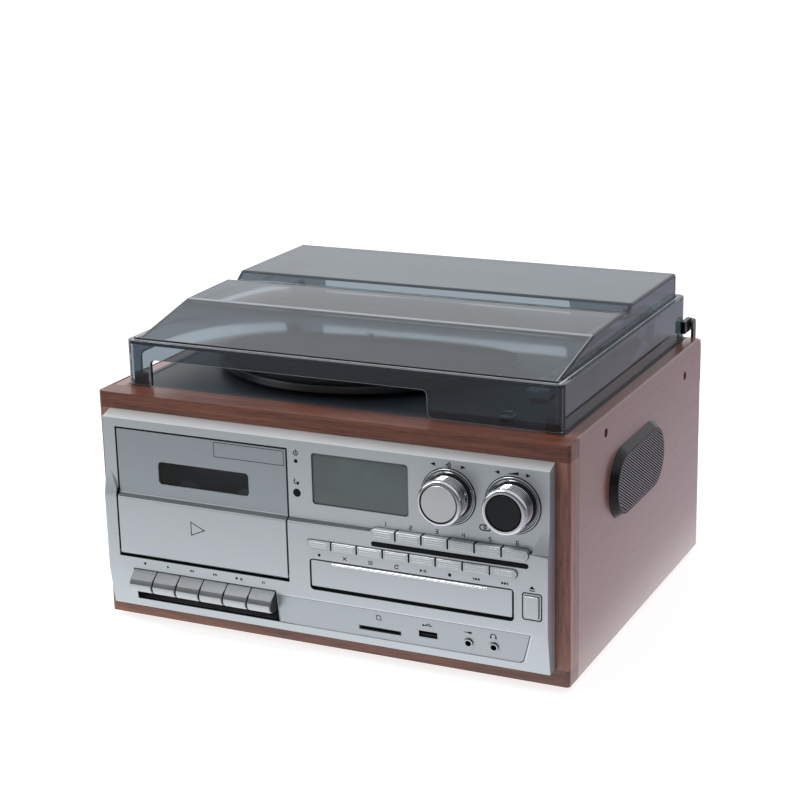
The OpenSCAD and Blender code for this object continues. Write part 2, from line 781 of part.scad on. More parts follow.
module rear_sockets() {
    // mains inlet with its two pins
    color(soft_black) translate([inlet_x, 0, inlet_z]) {
        difference() {
            union() {
                backward(cab_d - back_t - 14, 14 + back_t + 1) rounded_rect(23, 13, 1.8);
                backward(cab_d, 1.5) rounded_rect(27, 17, 3);
            }
            backward(cab_d - back_t - 9, 16) pill(17.5, 9);
        }
    }
    color(chrome) for (s = [-1, 1]) rod_back(inlet_x + s * 4.3, cab_d - back_t - 10, inlet_z, 1.2, 11);
    // line output: two round sockets with a sleeve each
    for (i = [0, 1]) translate([line_out_x + i * line_out_pitch, 0, line_out_z]) {
        color(i == 0 ? "white" : "red") difference() {
            rod_back(0, cab_d - back_t - 4, 0, 5.1, back_t + 5);
            rod_back(0, cab_d - 1, 0, 4.2, 4);
        }
        color(chrome) difference() {
            rod_back(0, cab_d - 1 - eps, 0, 4.2, 6);
            rod_back(0, cab_d - 3, 0, 1.6, 9);
        }
    }
}

module circuit_boards() {
    // main board behind the display, on the posts of the front panel
    board_x0 = signal_x - 3.3;
    board_z0 = tr_z - 6;
    color(board_green) translate([board_x0, board_y, board_z0])
        cube([fas_right - 3.5 - board_x0, board_t, fas_top - 5 - board_z0]);
    // display cell, indicator, remote eye and the bodies behind the two knobs
    color("#3d4442") translate([display_x, 0, display_z]) backward(cell_y, board_y - cell_y)
        square([display_w, display_h], center = true);
    color("#c33") rod_back(signal_x, -upper_out + 0.2, lamp_z, 1.15, upper_out - 0.2 + board_y);
    color("#501818") rod_back(signal_x, -upper_out + 0.1, eye_z, 2.5, upper_out - 0.1 + board_y);
    color(steel) for (x = [tuning_x, volume_x]) rod_back(x, cell_y, knob_z, 8, board_y - cell_y);
    // power supply on the floor board, on four pillars
    psu_z = floor_t + pillar_h;
    color(board_green) translate([psu_x - psu_w / 2, psu_y - psu_d / 2, psu_z]) cube([psu_w, psu_d, board_t]);
    color(steel) for (sx = [-1, 1], sy = [-1, 1])
        translate([psu_x + sx * (psu_w / 2 - 5), psu_y + sy * (psu_d / 2 - 5), floor_t])
            cylinder(r = pillar_r, h = pillar_h + eps);
    // its transformer and three capacitors
    color("#333") translate([psu_x - 22, psu_y - 20, psu_z + board_t - eps]) cube([44, 38, 34]);
    color("#224") for (i = [0 : 2])
        translate([psu_x + 32, psu_y - 20 + 17 * i, psu_z + board_t - eps]) cylinder(r = 6, h = 20);
}

module tape_mechanism() {
    color(steel) {
        difference() {
            translate([well_x0, fas_back, key_z1 + 3]) cube([well_w, plate_t, well_z1 - key_z1 - 3]);
            for (s = [-1, 1])
                rod_back(door_x + s * reel_span / 2, fas_back - 1, reel_z, reel_r + shaft_fit, 4);
        }
        // cheeks and the rod that the keys turn on
        for (s = [-1, 1])
            translate([door_x + s * (keys_w / 2 + 1 + cheek_t / 2) - cheek_t / 2, fas_back, rod_z - 4])
                cube([cheek_t, rod_y + 4 - fas_back, key_z1 + 16 - rod_z]);
        translate([door_x - keys_w / 2 - 1.5, rod_y, rod_z]) rotate([0, 90, 0])
            cylinder(r = key_rod_r, h = keys_w + 3);
    }
    // head block, capstan and pinch roller below the cassette
    color("silver") {
        translate([door_x - 9, -1, door_z0 + 4]) cube([18, 13 + eps, 7]);
        rod_back(door_x + 15, -3, door_z0 + 10, 1.2, 15 + eps);
    }
    color(soft_black) rod_back(door_x + 23, 1, door_z0 + 8, 4.5, 11 + eps);
    // flywheels and motor behind the plate
    color(steel) {
        for (s = [-1, 1]) {
            rod_back(door_x + s * flywheel_x, fas_back + 7, flywheel_z, flywheel_r, 5);
            rod_back(door_x + s * flywheel_x, fas_back + plate_t - eps, flywheel_z, 3, 6);
        }
        rod_back(door_x + 38, fas_back + plate_t - eps, door_z0 + 66, tape_motor_r, 24);
    }
}

module disc_loader() {
    loader_z0 = tray_z - 11;
    floor_z = tray_plate_z - 0.3;
    color([0.2, 0.2, 0.22]) difference() {
        union() {
            translate([tray_x - loader_w / 2, loader_front, loader_z0])
                cube([loader_w, tray_back + 8, 22]);
            for (sx = [-1, 1], y = [28, tray_back - 10])
                translate([tray_x + sx * (loader_w / 2 - 8), y, floor_t])
                    cylinder(r = 4, h = loader_z0 - floor_t + eps);
        }
        translate([tray_x - tray_plate_w / 2 - 0.3, loader_front - 1, floor_z])
            cube([tray_plate_w + 0.6, tray_back - lower_out - loader_front + 2, tray_t + 4]);
        // the top is open above the disc but for a bridge
        translate([tray_x - tray_plate_w / 2 + 6, loader_front + 8, tray_z])
            cube([tray_plate_w - 12, disc_y - loader_front - 22, 20]);
        translate([tray_x - tray_plate_w / 2 + 6, disc_y + 14, tray_z])
            cube([tray_plate_w - 12, tray_back - disc_y - 34, 20]);
        // well for the sled
        translate([tray_x - 24, disc_y - 22, loader_z0 + 3]) cube([48, 78, 20]);
    }
    color(steel) translate([tray_x, disc_y, loader_z0 + 3 - eps]) {
        cylinder(r = 12, h = 2.5);
        cylinder(r = 6, h = floor_z - loader_z0 - 3.2);
    }
    color("#223") translate([tray_x - 12, disc_y + 18, loader_z0 + 3 - eps]) cube([24, 22, 4]);
}

module platter_motor() {
    translate([motor_at[0], motor_at[1], 0]) {
        color(steel) {
            translate([-20, -20, deck_z - deck_t - 1.5]) cube([40, 40, 1.5]);
            translate([0, 0, deck_z - deck_t - 26]) cylinder(r = 17, h = 24.6);
            translate([0, 0, deck_z - deck_t - 4]) cylinder(r = 1.2, h = 8);
        }
        color("gold") translate([0, 0, deck_z + 0.6]) cylinder(r = pulley_r, h = 4);
    }
    // flat belt from the pulley to the drum under the platter
    color("#222") translate([0, 0, rim_z0 - 1]) linear_extrude(2) difference() {
        belt_loop(1);
        belt_loop(0);
    }
}

module belt_loop(t) {
    hull() {
        translate([plat_x, plat_y]) circle(r = drum_r + 0.3 + t);
        translate(motor_at) circle(r = pulley_r + 0.02 + t);
    }
}

// Moves to the arm's pivot and turns so that -y runs along the arm at rest
module arm_frame() {
    translate([arm_x, arm_y, 0]) rotate(arm_turn) children();
}

module arm_rest() {
    saddle_z = arm_z - arm_r - 0.3;
    color(soft_black) arm_frame() {
        translate([1.5, -95, deck_z]) cylinder(r = 3.2, h = saddle_z - deck_z - 1);
        translate([-3, -98, saddle_z - 2]) cube([arm_r + 5.3, 6, 2]);
        translate([arm_r + 0.3, -98, saddle_z - 2]) cube([2, 6, arm_r + 6]);
        // two posts that carry the cueing shaft
        for (x = [-9.5, 7.5]) difference() {
            translate([x, cue_y - 3, deck_z]) cube([3, 6, cue_z + 3 - deck_z]);
            translate([x - 1, cue_y, cue_z]) rotate([0, 90, 0]) cylinder(r = 1.5 + shaft_fit, h = 5);
        }
    }
}

module cue_lever() {
    color(chrome) arm_frame() translate([0, cue_y, cue_z]) {
        translate([-10.5, 0, 0]) rotate([0, 90, 0]) cylinder(r = 1.5, h = 24.5);
        translate([-5.5, -cam_off, 0]) rotate([0, 90, 0]) cylinder(r = cam_r, h = 12);
        translate([11.3, 0, 0]) rotate([15, 0, 0]) {
            translate([0, -20, -1.5]) cube([2.6, 20, 3]);
            translate([0, -20, 0]) rotate([0, 90, 0]) cylinder(r = 2.6, h = 2.6);
            rotate([0, 90, 0]) cylinder(r = 3, h = 2.6);
        }
    }
}

// A housing in the deck, a thicker shaft that the platter turns on, a neck and the record's pin
module spindle() {
    color(chrome) translate([plat_x, plat_y, 0]) {
        translate([0, 0, deck_z - 14]) cylinder(r = 6, h = 14 + eps);
        translate([0, 0, deck_z]) cylinder(r = 12, h = 2);
        translate([0, 0, deck_z]) cylinder(r = bearing_r, h = bearing_top - deck_z);
        translate([0, 0, bearing_top - eps])
            cylinder(r = spindle_r - 0.4, h = pin_z0 - bearing_top + 2 * eps);
        translate([0, 0, pin_z0]) cylinder(r = spindle_r, h = pin_z1 - pin_z0);
        translate([0, 0, pin_z1 - eps]) cylinder(r1 = spindle_r, r2 = spindle_r - 2, h = 2.5);
    }
}

module platter() {
    bore = bearing_r + shaft_fit;
    color("#9a9ca0") translate([plat_x, plat_y, 0]) rotate_extrude($fn = 96) {
        translate([bore, mat_z - 2.2]) square([platter_r - bore - 0.5, 2.2]);
        translate([platter_r - 3, rim_z0]) square([3, platter_h - 0.6]);
        translate([drum_r - 3, rim_z0 - 1.5]) square([3, platter_h]);
        translate([bore, deck_z + 2.3]) square([7, mat_z - deck_z - 3]);
    }
}

module platter_mat() {
    color(soft_black) translate([plat_x, plat_y, mat_z]) rotate_extrude($fn = 96) {
        translate([bearing_r + 0.3, 0]) square([platter_r - 3.5 - bearing_r, mat_t - 0.6]);
        translate([50, 0]) square([platter_r - 53.2, mat_t]);
    }
}

module arm_pivot() {
    color(chrome) arm_frame() difference() {
        union() {
            translate([0, 0, deck_z - 2]) cylinder(r = 4, h = boss_top - deck_z + 2.5);
            translate([0, 0, boss_top + 0.3]) cylinder(r = boss_r - 1.5, h = 2.5);
            for (s = [-1, 1]) translate([s * 7.2 - 1.3, -5, boss_top + 2])
                cube([2.6, 10, arm_z + 4 - boss_top - 2]);
        }
        translate([-10, 0, arm_z]) rotate([0, 90, 0]) cylinder(r = 1.2 + shaft_fit, h = 20);
    }
}

module tonearm() {
    color(chrome) arm_frame() translate([0, 0, arm_z]) {
        translate([-5.4, -7, -4.6]) cube([10.8, 13, 9.2]);
        translate([-8.5, 0, 0]) rotate([0, 90, 0]) cylinder(r = 1.2, h = 17);
        rod_back(0, -arm_len + 20, 0, arm_r, arm_len - 20 - 6);
        rod_back(0, 5.9, 0, 2.5, 3);
        rod_back(0, 8, 0, 5.2, 7);
    }
    // head that holds the cartridge, with a lip to lift it by
    color(soft_black) arm_frame() translate([0, 0, arm_z - 3.5]) {
        linear_extrude(4.5) translate([0, -arm_len]) polygon([[-4.5, 28], [4.5, 28], [head_w / 2, 16],
            [head_w / 2, -5], [-head_w / 2, -5], [-head_w / 2, 16]]);
        translate([-2, -arm_len - 8, 3]) cube([4, 4, 1.5]);
    }
}

module cartridge() {
    color("#8c1d1d") arm_frame() {
        body_z = arm_z - 7.6;
        tip_z = record_z + 0.8;
        translate([-5, -arm_len - 3, body_z]) cube([10, 18, 4.1]);
        translate([0, -arm_len, tip_z]) cylinder(r1 = 0.3, r2 = 1.4, h = body_z - tip_z + eps);
    }
}

module speed_switch() {
    color(chrome) translate([switch_x, switch_y, 0]) {
        translate([-1.7, -3, deck_z - deck_t - 1]) cube([3.4, 6, deck_t + 1.5]);
        translate([-4, -4.5, deck_z + 0.3]) cube([8, 9, 1.5]);
        translate([-3, -1.5, deck_z + 1.7]) cube([6, 3, 3]);
        translate([-3.5, -3, deck_z - deck_t - 2]) cube([7, 6, 1.6]);
    }
}

// Outline of the roof from the side, moved in and down by t for the inside
function roof_outline(t) = let (foot = ledge_top - t - 1, roof = ledge_top + roof_rise - t,
    y0 = lid_front + lid_ledge + t * 0.2, y1 = lid_back - 4 - t) [
    [y0, foot], [y0, ledge_top - t], [crease_y, roof], [groove_y, roof + 1],
    [groove_y + 4, roof + 1 - groove_depth], [groove_y + 12, roof + 1 - groove_depth],
    [groove_y + 19, roof + 3], [y1 - 2, roof + 3], [y1, roof + 1], [y1, foot]];

// Half the width that a record takes where it crosses a wall at the distance d from the spindle
function chord(d) = sqrt(record_r * record_r - d * d);

// A cut-out in a wall of the skirt, drawn from x0 to x1 with its upper corners rounded
module skirt_cutout(x0, x1, flare) {
    r = 3.5;
    h = cutout_h;
    square_top = x1 - flare;
    translate([x0, -1]) square([square_top - x0, h + 1 - r]);
    translate([x0 + r, -1]) square([square_top - x0 - 2 * r, h + 1]);
    translate([x0 + r, h - r]) circle(r = r);
    translate([square_top - r, h - r]) circle(r = r);
    polygon([[square_top - eps, -1], [x1, -1], [x1, 0], [square_top, h - r], [square_top - eps, h - r]]);
}

module dust_cover() {
    upper = lid_x - lid_ledge;
    color(smoke) difference() {
        union() {
            translate([-lid_x, lid_front, lid_z]) cube([2 * lid_x, lid_back - lid_front, skirt_h]);
            across(2 * upper) polygon(roof_outline(0));
        }
        translate([-lid_x + lid_wall, lid_front + lid_wall, lid_z - 1])
            cube([2 * (lid_x - lid_wall), lid_back - lid_front - 2 * lid_wall, skirt_h + 1 - lid_wall]);
        across(2 * (upper - lid_wall)) polygon(roof_outline(lid_wall));
        // a record reaches out through the front, the rear and the left wall
        front_half = chord(plat_y - lid_front);
        rear_half = chord(lid_back - plat_y);
        left_half = chord(plat_x + lid_x);
        translate([0, 0, lid_z]) {
            backward(lid_front - 1, lid_wall + 2)
                skirt_cutout(plat_x - front_half - 1, plat_x + front_half, cutout_flare);
            backward(lid_back - lid_wall - 1, lid_wall + 2)
                skirt_cutout(plat_x - rear_half - cutout_gap, plat_x + rear_half + cutout_gap, 0);
            translate([-lid_x - 1, 0, 0]) rotate([90, 0, 90]) linear_extrude(lid_wall + 2)
                skirt_cutout(plat_y - left_half - cutout_gap, plat_y + left_half + cutout_gap, 0);
        }
    }
}

module tape_door() {
    step_y = -upper_out + door_t;
    color(silver) difference() {
        union() {
            across_at(door_x, door_w) {
                polygon([[pivot_y, pivot_z - foot_round], [pivot_y, pivot_z], [-lower_out, pivot_z],
                    [-lower_out, ledge_z], [-upper_out, ledge_z + 0.8], [-upper_out, door_z1],
                    [step_y, door_z1], [step_y, ledge_z - 3], [-lower_out + door_t, ledge_z - 3],
                    [-lower_out + door_t, pivot_z - foot_round]]);
                translate([pivot_y, pivot_z]) circle(r = foot_round);
            }
            // pins that the door turns on
            translate([well_x0 + tunnel_t / 2, pivot_y, pivot_z]) rotate([0, 90, 0])
                cylinder(r = pivot_r, h = well_w - tunnel_t);
            // holder for the cassette: two channels and two short ledges
            for (s = [0, 1]) translate([door_x, 0, 0]) mirror([s, 0, 0]) {
                translate([holder_w / 2 - holder_wall / 2, -lower_out + door_t - eps, holder_foot])
                    cube([holder_wall, holder_d, 33]);
                translate([holder_w / 2 - holder_wall / 2, step_y - eps, holder_foot + 32])
                    cube([holder_wall, holder_d - 3, 30]);
                translate([holder_w / 2 + holder_wall / 2 - 4, 5, holder_foot]) cube([4, 1.5, 62]);
                translate([holder_w / 2 - holder_d, -lower_out + door_t - eps, holder_foot])
                    cube([holder_d, holder_d - 1, holder_wall]);
            }
        }
        translate([door_x + 1.5, 0, pane_z]) backward(-lower_out - 1, lower_out + door_t + 1)
            rounded_rect(pane_w, pane_h, 2.5);
        // grip notch at the foot of the door
        translate([door_x - 12, -lower_out - 1, door_z0 - 2]) rotate([-90, 0, 0]) cylinder(r = 3, h = 3);
    }
}

module tape_window() {
    color([0.15, 0.16, 0.18]) translate([door_x + 1.5, 0, pane_z]) {
        backward(-upper_out + 0.2, door_t - 0.2 + eps) rounded_rect(pane_w - 0.3, pane_h - 0.3, 2.3);
        backward(-upper_out + door_t, 0.8) rounded_rect(pane_w + 4, pane_h + 4, 2.5);
    }
}

// Outline of a piano key from the side: a sloping top, a ridge, a round front and a hub on the rod
module tape_key(i) {
    front = -lower_out;
    color(silver) across_at(door_x + (i - 2.5) * key_pitch, key_pitch - key_gap) difference() {
        union() {
            polygon([[front + 0.6, key_z1], [front - 6, key_z1 - 5], [front - 7.6, key_z1 - 7.2],
                [front - 8, key_z1 - 9], [front - 7.4, key_z1 - 11.2], [front - 5.4, key_z0],
                [2, key_z0], [rod_y - 1, rod_z - hub_r], [rod_y, rod_z + hub_r], [-6, key_z1]]);
            translate([rod_y, rod_z]) circle(r = hub_r);
        }
        translate([rod_y, rod_z]) circle(r = key_rod_r + shaft_fit);
    }
}

module reel(x) {
    color("white") {
        rod_back(x, -3, reel_z, 3.4, fas_back + 2.6);
        for (a = [0 : 60 : 300]) translate([x, -1, reel_z]) rotate([-90, a, 0]) translate([0, -0.6, 0])
            cube([4.8, 1.2, fas_back - 0.6]);
        rod_back(x, fas_back - 3, reel_z, 7, 2.6);
        rod_back(x, fas_back - 1, reel_z, reel_r, 5);
    }
}

module disc_tray() {
    color(silver) difference() {
        translate([tray_x, 0, tray_z]) backward(-lower_out, tray_front_t) rounded_rect(tray_w, tray_h, 0.8);
        // grip bevel along the top of the front
        translate([tray_x - tray_w * 0.385, -lower_out, tray_z + tray_h / 2]) rotate([45, 0, 0])
            cube([tray_w * 0.77, 2, 2]);
    }
    color([0.16, 0.16, 0.17]) difference() {
        translate([tray_x - tray_plate_w / 2, -lower_out + tray_front_t - eps, tray_plate_z])
            cube([tray_plate_w, tray_back - tray_front_t, tray_t]);
        translate([tray_x, disc_y, tray_plate_z + tray_t - 2.4]) cylinder(r = disc_r, h = 3, $fn = 96);
        translate([tray_x, disc_y, tray_plate_z + tray_t - 3.6]) cylinder(r = 40.5, h = 3, $fn = 72);
        translate([tray_x, disc_y, tray_plate_z - 1]) cylinder(r = 17, h = tray_t + 2);
        translate([tray_x - 17, disc_y, tray_plate_z - 1]) cube([34, 48, tray_t + 2]);
    }
}

module knob(x) {
    ribs = floor((knob_len - 4) / 1.8);
    front = -upper_out - 1.2 - knob_len;
    color(chrome) {
        rod_back(x, front, knob_z, knob_r - 0.5, knob_len + 0.4);
        rod_back(x, front + 0.5, knob_z, knob_r, 1.5);
        for (i = [0 : ribs - 1]) rod_back(x, front + 3 + 1.8 * i, knob_z, knob_r, 1);
        rod_back(x, front + knob_len, knob_z, knob_shaft_r, wall + 1.6);
    }
}

module tuning_knob() {
    knob(tuning_x);
}

module volume_knob() {
    difference() {
        knob(volume_x);
        rod_back(volume_x, -knob_reach - 1, knob_z, knob_r - 2, 1.4);
    }
}

// One button of a row of n: the part of the row's round-ended bar that lies over its own place
module row_button(x0, z, pitch, n, h, i) {
    front = -lower_out - button_reach;
    color(silver) intersection() {
        translate([x0 + n * pitch / 2, 0, z]) backward(front, board_y - button_travel - 0.3 - front)
            pill(n * pitch - button_gap, h);
        translate([x0 + i * pitch + button_gap / 2, front - 1, z - h])
            cube([pitch - button_gap, 1 - front, 2 * h]);
    }
}

module function_button(i) {
    row_button(fn_x0, fn_z, fn_pitch, 6, fn_h, i);
}

module transport_button(i) {
    row_button(tr_x0, tr_z, tr_pitch, 8, tr_h, i);
}

module eject_button() {
    color(silver) translate([eject_x, 0, tray_z]) {
        backward(-lower_out - button_reach, 6) square([eject_w, eject_h], center = true);
        backward(-lower_out - button_reach + 6 - eps, 2)
            square([eject_w + 2.4, eject_h + 2.4], center = true);
    }
}

place() front_frame();
place() side_panels();
place() bottom_panel();
place() rear_panel();
place() deck_plate();
place() fascia();
place() display_window();
place() knob_rings();
place() speaker_housings();
place() speaker_grilles();
place() speaker_drivers();
place() rubber_feet();
place() screws();
place() hinge_brackets();
place() port_sockets();
place() jack_sockets();
place() rear_sockets();
place() circuit_boards();
place() tape_mechanism();
place() disc_loader();
place() platter_motor();
place() arm_rest();
place() spindle();
place() dust_cover();
place() lid_hinges();
place() platter();
place() platter_mat();
place() arm_pivot();
place() tonearm();
place() cartridge();
place() cue_lever();
place() speed_switch();
place() tape_door();
place() tape_window();
place() tape_key(0);  // record_key
place() tape_key(1);  // play_key
place() tape_key(2);  // rewind_key
place() tape_key(3);  // forward_key
place() tape_key(4);  // stop_key
place() tape_key(5);  // pause_key
place() reel(door_x - reel_span / 2);  // supply_reel
place() reel(door_x + reel_span / 2);  // take_up_reel
place() disc_tray();
place() tuning_knob();
place() volume_knob();
place() eject_button();
place() function_button(0);  // function_button_1
place() function_button(1);  // function_button_2
place() function_button(2);  // function_button_3
place() function_button(3);  // function_button_4
place() function_button(4);  // function_button_5
place() function_button(5);  // function_button_6
place() transport_button(0);  // transport_button_1
place() transport_button(1);  // transport_button_2
place() transport_button(2);  // transport_button_3
place() transport_button(3);  // transport_button_4
place() transport_button(4);  // transport_button_5
place() transport_button(5);  // transport_button_6
place() transport_button(6);  // transport_button_7
place() transport_button(7);  // transport_button_8
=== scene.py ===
import functools
import json
import math

import bmesh
import bpy
from mathutils import Matrix, Vector

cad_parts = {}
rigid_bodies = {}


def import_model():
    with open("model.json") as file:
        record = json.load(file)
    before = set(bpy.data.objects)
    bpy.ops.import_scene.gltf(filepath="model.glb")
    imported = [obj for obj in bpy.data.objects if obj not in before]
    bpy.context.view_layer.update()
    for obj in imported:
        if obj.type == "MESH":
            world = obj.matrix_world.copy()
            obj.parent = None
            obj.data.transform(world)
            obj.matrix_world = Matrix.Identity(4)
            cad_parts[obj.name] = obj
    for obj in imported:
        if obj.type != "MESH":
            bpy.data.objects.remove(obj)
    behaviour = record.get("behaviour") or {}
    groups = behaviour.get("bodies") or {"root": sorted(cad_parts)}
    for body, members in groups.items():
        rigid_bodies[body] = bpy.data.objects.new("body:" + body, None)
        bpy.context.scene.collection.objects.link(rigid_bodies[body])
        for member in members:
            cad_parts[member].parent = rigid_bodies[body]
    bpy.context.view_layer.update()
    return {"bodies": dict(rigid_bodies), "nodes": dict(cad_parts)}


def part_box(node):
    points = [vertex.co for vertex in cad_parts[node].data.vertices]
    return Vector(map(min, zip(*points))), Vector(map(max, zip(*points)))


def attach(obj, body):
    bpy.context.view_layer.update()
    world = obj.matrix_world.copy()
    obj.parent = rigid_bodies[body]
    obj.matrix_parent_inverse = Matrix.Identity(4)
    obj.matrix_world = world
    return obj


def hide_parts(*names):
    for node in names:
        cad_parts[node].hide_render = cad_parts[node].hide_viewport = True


bl_info = {
    "name": "Stereo Music Centre",
    "version": (1, 0, 0),
    "blender": (4, 5, 0),
    "location": "View3D > Sidebar > Music Centre",
    "description": "Dresses the packed music centre: walnut box, smoked lid, silver front and speakers",
    "category": "Object",
}

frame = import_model()

# Places are written in the cabinet's own millimetres: x from its middle, y back from the
# front of the wood, z up from the underside of the wood
MM = 0.001
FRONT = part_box("front_frame")[0].y
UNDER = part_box("front_frame")[0].z
WOOD_TOP = (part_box("front_frame")[1].z - UNDER) / MM
HALF_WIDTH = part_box("front_frame")[1].x / MM


def at(x, y, z):
    """A point given in cabinet millimetres, in metres in the part's frame."""
    return Vector((x * MM, FRONT + y * MM, UNDER + z * MM))


@functools.cache
def span(node):
    """Lowest and highest corner of a node in cabinet millimetres."""
    low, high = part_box(node)
    return [((p.x) / MM, (p.y - FRONT) / MM, (p.z - UNDER) / MM) for p in (low, high)]


# Planes of the front panel
UPPER_Y = -9.5
LOWER_Y = -12.5
LEDGE_Z = 85.0
RIDGE_Z = 36.0
CHIN_TILT = math.atan(4.0 / 25.7)
RIM_SIDE = 8.3

# Middles of what the panel carries, read from the frame
TUNING_X = sum(p[0] for p in span("tuning_knob")) / 2
VOLUME_X = sum(p[0] for p in span("volume_knob")) / 2
KNOB_Z = sum(p[2] for p in span("tuning_knob")) / 2
EJECT_X = sum(p[0] for p in span("eject_button")) / 2
KEYS_X = (span("record_key")[0][0] + span("pause_key")[1][0]) / 2
KEY_PITCH = span("play_key")[0][0] - span("record_key")[0][0]
FUNCTION_PITCH = span("function_button_3")[0][0] - span("function_button_2")[0][0]
FUNCTION_X = span("function_button_1")[0][0] - 0.4
TRANSPORT_PITCH = span("transport_button_3")[0][0] - span("transport_button_2")[0][0]
TRANSPORT_X = span("transport_button_1")[0][0] - 0.4
TRAY_H = 16.6
TRAY_Z = 53.0
GRILLE_RIM = 1.4
LID_LEDGE_Z = 177.3
SIGNAL_X = -12.7
DOOR_MARK_X = -81.8
CARD_X, STICK_X, AUX_X, PHONES_X = 40.5, 72.3, 98.4, 114.5


# Mesh building


def piece(name, bm, finish, body, stands_for=(), sharp=40.0):
    """Turns a bmesh into a smooth-shaded piece that rides on a body."""
    bmesh.ops.recalc_face_normals(bm, faces=bm.faces)
    limit = math.radians(sharp)
    for face in bm.faces:
        face.smooth = True
    for edge in bm.edges:
        edge.smooth = len(edge.link_faces) == 2 and edge.calc_face_angle(0.0) < limit
    mesh = bpy.data.meshes.new(name)
    bm.to_mesh(mesh)
    bm.free()
    obj = bpy.data.objects.new(name, mesh)
    bpy.context.scene.collection.objects.link(obj)
    for one in finish if isinstance(finish, (list, tuple)) else [finish]:
        mesh.materials.append(one)
    shading = obj.modifiers.new("even_shading", "WEIGHTED_NORMAL")
    shading.keep_sharp = True
    shading.weight = 80
    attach(obj, body)
    if stands_for:
        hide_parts(*stands_for)
    return obj


def solid_of(node):
    """A bmesh of a node's solid, with its flat faces whole again."""
    bm = bmesh.new()
    bm.from_mesh(frame["nodes"][node].data)
    bmesh.ops.remove_doubles(bm, verts=bm.verts, dist=1e-6)
    bmesh.ops.dissolve_limit(
        bm, angle_limit=math.radians(0.6), verts=bm.verts, edges=bm.edges
    )
    return bm


def ease(bm, width, steps=2, sharper=32.0, where=None):
    """Rounds the edges of a bmesh that are sharper than an angle, and that where() picks."""
    limit = math.radians(sharper)
    edges = [
        e
        for e in bm.edges
        if len(e.link_faces) == 2
        and abs(e.calc_face_angle_signed(0.0)) > limit
        and e.calc_length() > width * MM * 0.8
        and (where is None or where(e))
    ]
    if edges:
        bmesh.ops.bevel(
            bm,
            geom=edges,
            offset=width * MM,
            offset_type="OFFSET",
            segments=steps,
            profile=0.5,
            affect="EDGES",
            clamp_overlap=True,
            loop_slide=True,
        )


def soften_ledge(bm):
    """Gives the step across the front panel its broad round edge."""
    edges = [
        e
        for e in bm.edges
        if all(abs(v.co.y - FRONT - LOWER_Y * MM) < 1e-4 and abs(v.co.z - UNDER - LEDGE_Z * MM) < 2e-4 for v in e.verts)
        and e.calc_length() > 4 * MM
    ]
    bmesh.ops.bevel(
        bm,
        geom=edges,
        offset=2.0 * MM,
        offset_type="OFFSET",
        segments=5,
        profile=0.5,
        affect="EDGES",
        clamp_overlap=False,
    )


def in_ledge_shade(c, n):
    """True on top of the ledge and on the upper half of its round edge, where a dark paint stands in for shade."""
    return -2.7 < c.z - LEDGE_Z < 0.95 and n.z > 0.5 and abs(n.x) < 0.2 and c.y < UPPER_Y + 0.2


def paint_by(bm, pick):
    """Gives each face the finish whose number pick(centre, normal) returns."""
    for face in bm.faces:
        centre = face.calc_center_median()
        place = Vector((centre.x / MM, (centre.y - FRONT) / MM, (centre.z - UNDER) / MM))
        face.material_index = pick(place, face.normal)


def carve(bm, cutters):
    """Cuts closed shapes, each a list of rings, out of a bmesh and returns the new one."""
    meshes = []
    for source in [bm] + cutters:
        mesh = bpy.data.meshes.new("carving")
        source.to_mesh(mesh)
        source.free()
        meshes.append(mesh)
    target = bpy.data.objects.new("carving", meshes[0])
    bpy.context.scene.collection.objects.link(target)
    tools = []
    for mesh in meshes[1:]:
        tool = bpy.data.objects.new("carving_tool", mesh)
        bpy.context.scene.collection.objects.link(tool)
        modifier = target.modifiers.new("cut", "BOOLEAN")
        modifier.operation = "DIFFERENCE"
        modifier.solver = "EXACT"
        modifier.object = tool
        tools.append(tool)
    bpy.context.view_layer.update()
    result = bmesh.new()
    result.from_object(target, bpy.context.evaluated_depsgraph_get())
    for obj in [target] + tools:
        bpy.data.objects.remove(obj)
    bmesh.ops.remove_doubles(result, verts=result.verts, dist=1e-6)
    bmesh.ops.dissolve_limit(result, angle_limit=math.radians(0.6), verts=result.verts, edges=result.edges)
    return result


def prism(outline, y0, y1):
    """A bmesh of an outline on the front, from y0 back to y1."""
    bm = bmesh.new()
    loft(bm, [[at(u, y, v) for u, v in outline] for y in (y0, y1)], (True, True))
    bmesh.ops.recalc_face_normals(bm, faces=bm.faces)
    return bm


def body_of(node):
    """The name of the body that a node belongs to."""
    parent = frame["nodes"][node].parent
    return next(name for name, empty in frame["bodies"].items() if empty == parent)


def split_at(bm, point, normal):
    """Cuts a bmesh's faces along a plane, so that each side can have its own finish."""
    geometry = list(bm.verts) + list(bm.edges) + list(bm.faces)
    bmesh.ops.bisect_plane(bm, geom=geometry, plane_co=point, plane_no=normal)


def eased(node, name, finishes, width, steps=2, sharper=32.0, where=None, pick=None, splits=()):
    """The node's solid with rounded edges, in its place."""
    bm = solid_of(node)
    ease(bm, width, steps, sharper, where)
    for point, normal in splits:
        split_at(bm, point, normal)
    if pick:
        paint_by(bm, pick)
    return piece(name, bm, [finish(one) for one in finishes], body_of(node), [node])


def loft(bm, rings, closed_ends=(True, True), wrap=True):
    """Skins a stack of rings that have the same number of points, given in metres."""
    rows = [[bm.verts.new(p) for p in ring] for ring in rings]
    count = len(rows[0])
    for low, high in zip(rows, rows[1:]):
        for i in range(count if wrap else count - 1):
            j = (i + 1) % count
            bm.faces.new((low[i], low[j], high[j], high[i]))
    if closed_ends[0]:
        bm.faces.new(list(reversed(rows[0])))
    if closed_ends[1]:
        bm.faces.new(rows[-1])
    return rows


def bar(bm, low, high):
    """A box between two corners given in cabinet millimetres."""
    (x0, y0, z0), (x1, y1, z1) = low, high
    loft(bm, [[at(x0, y0, z), at(x1, y0, z), at(x1, y1, z), at(x0, y1, z)] for z in (z0, z1)])


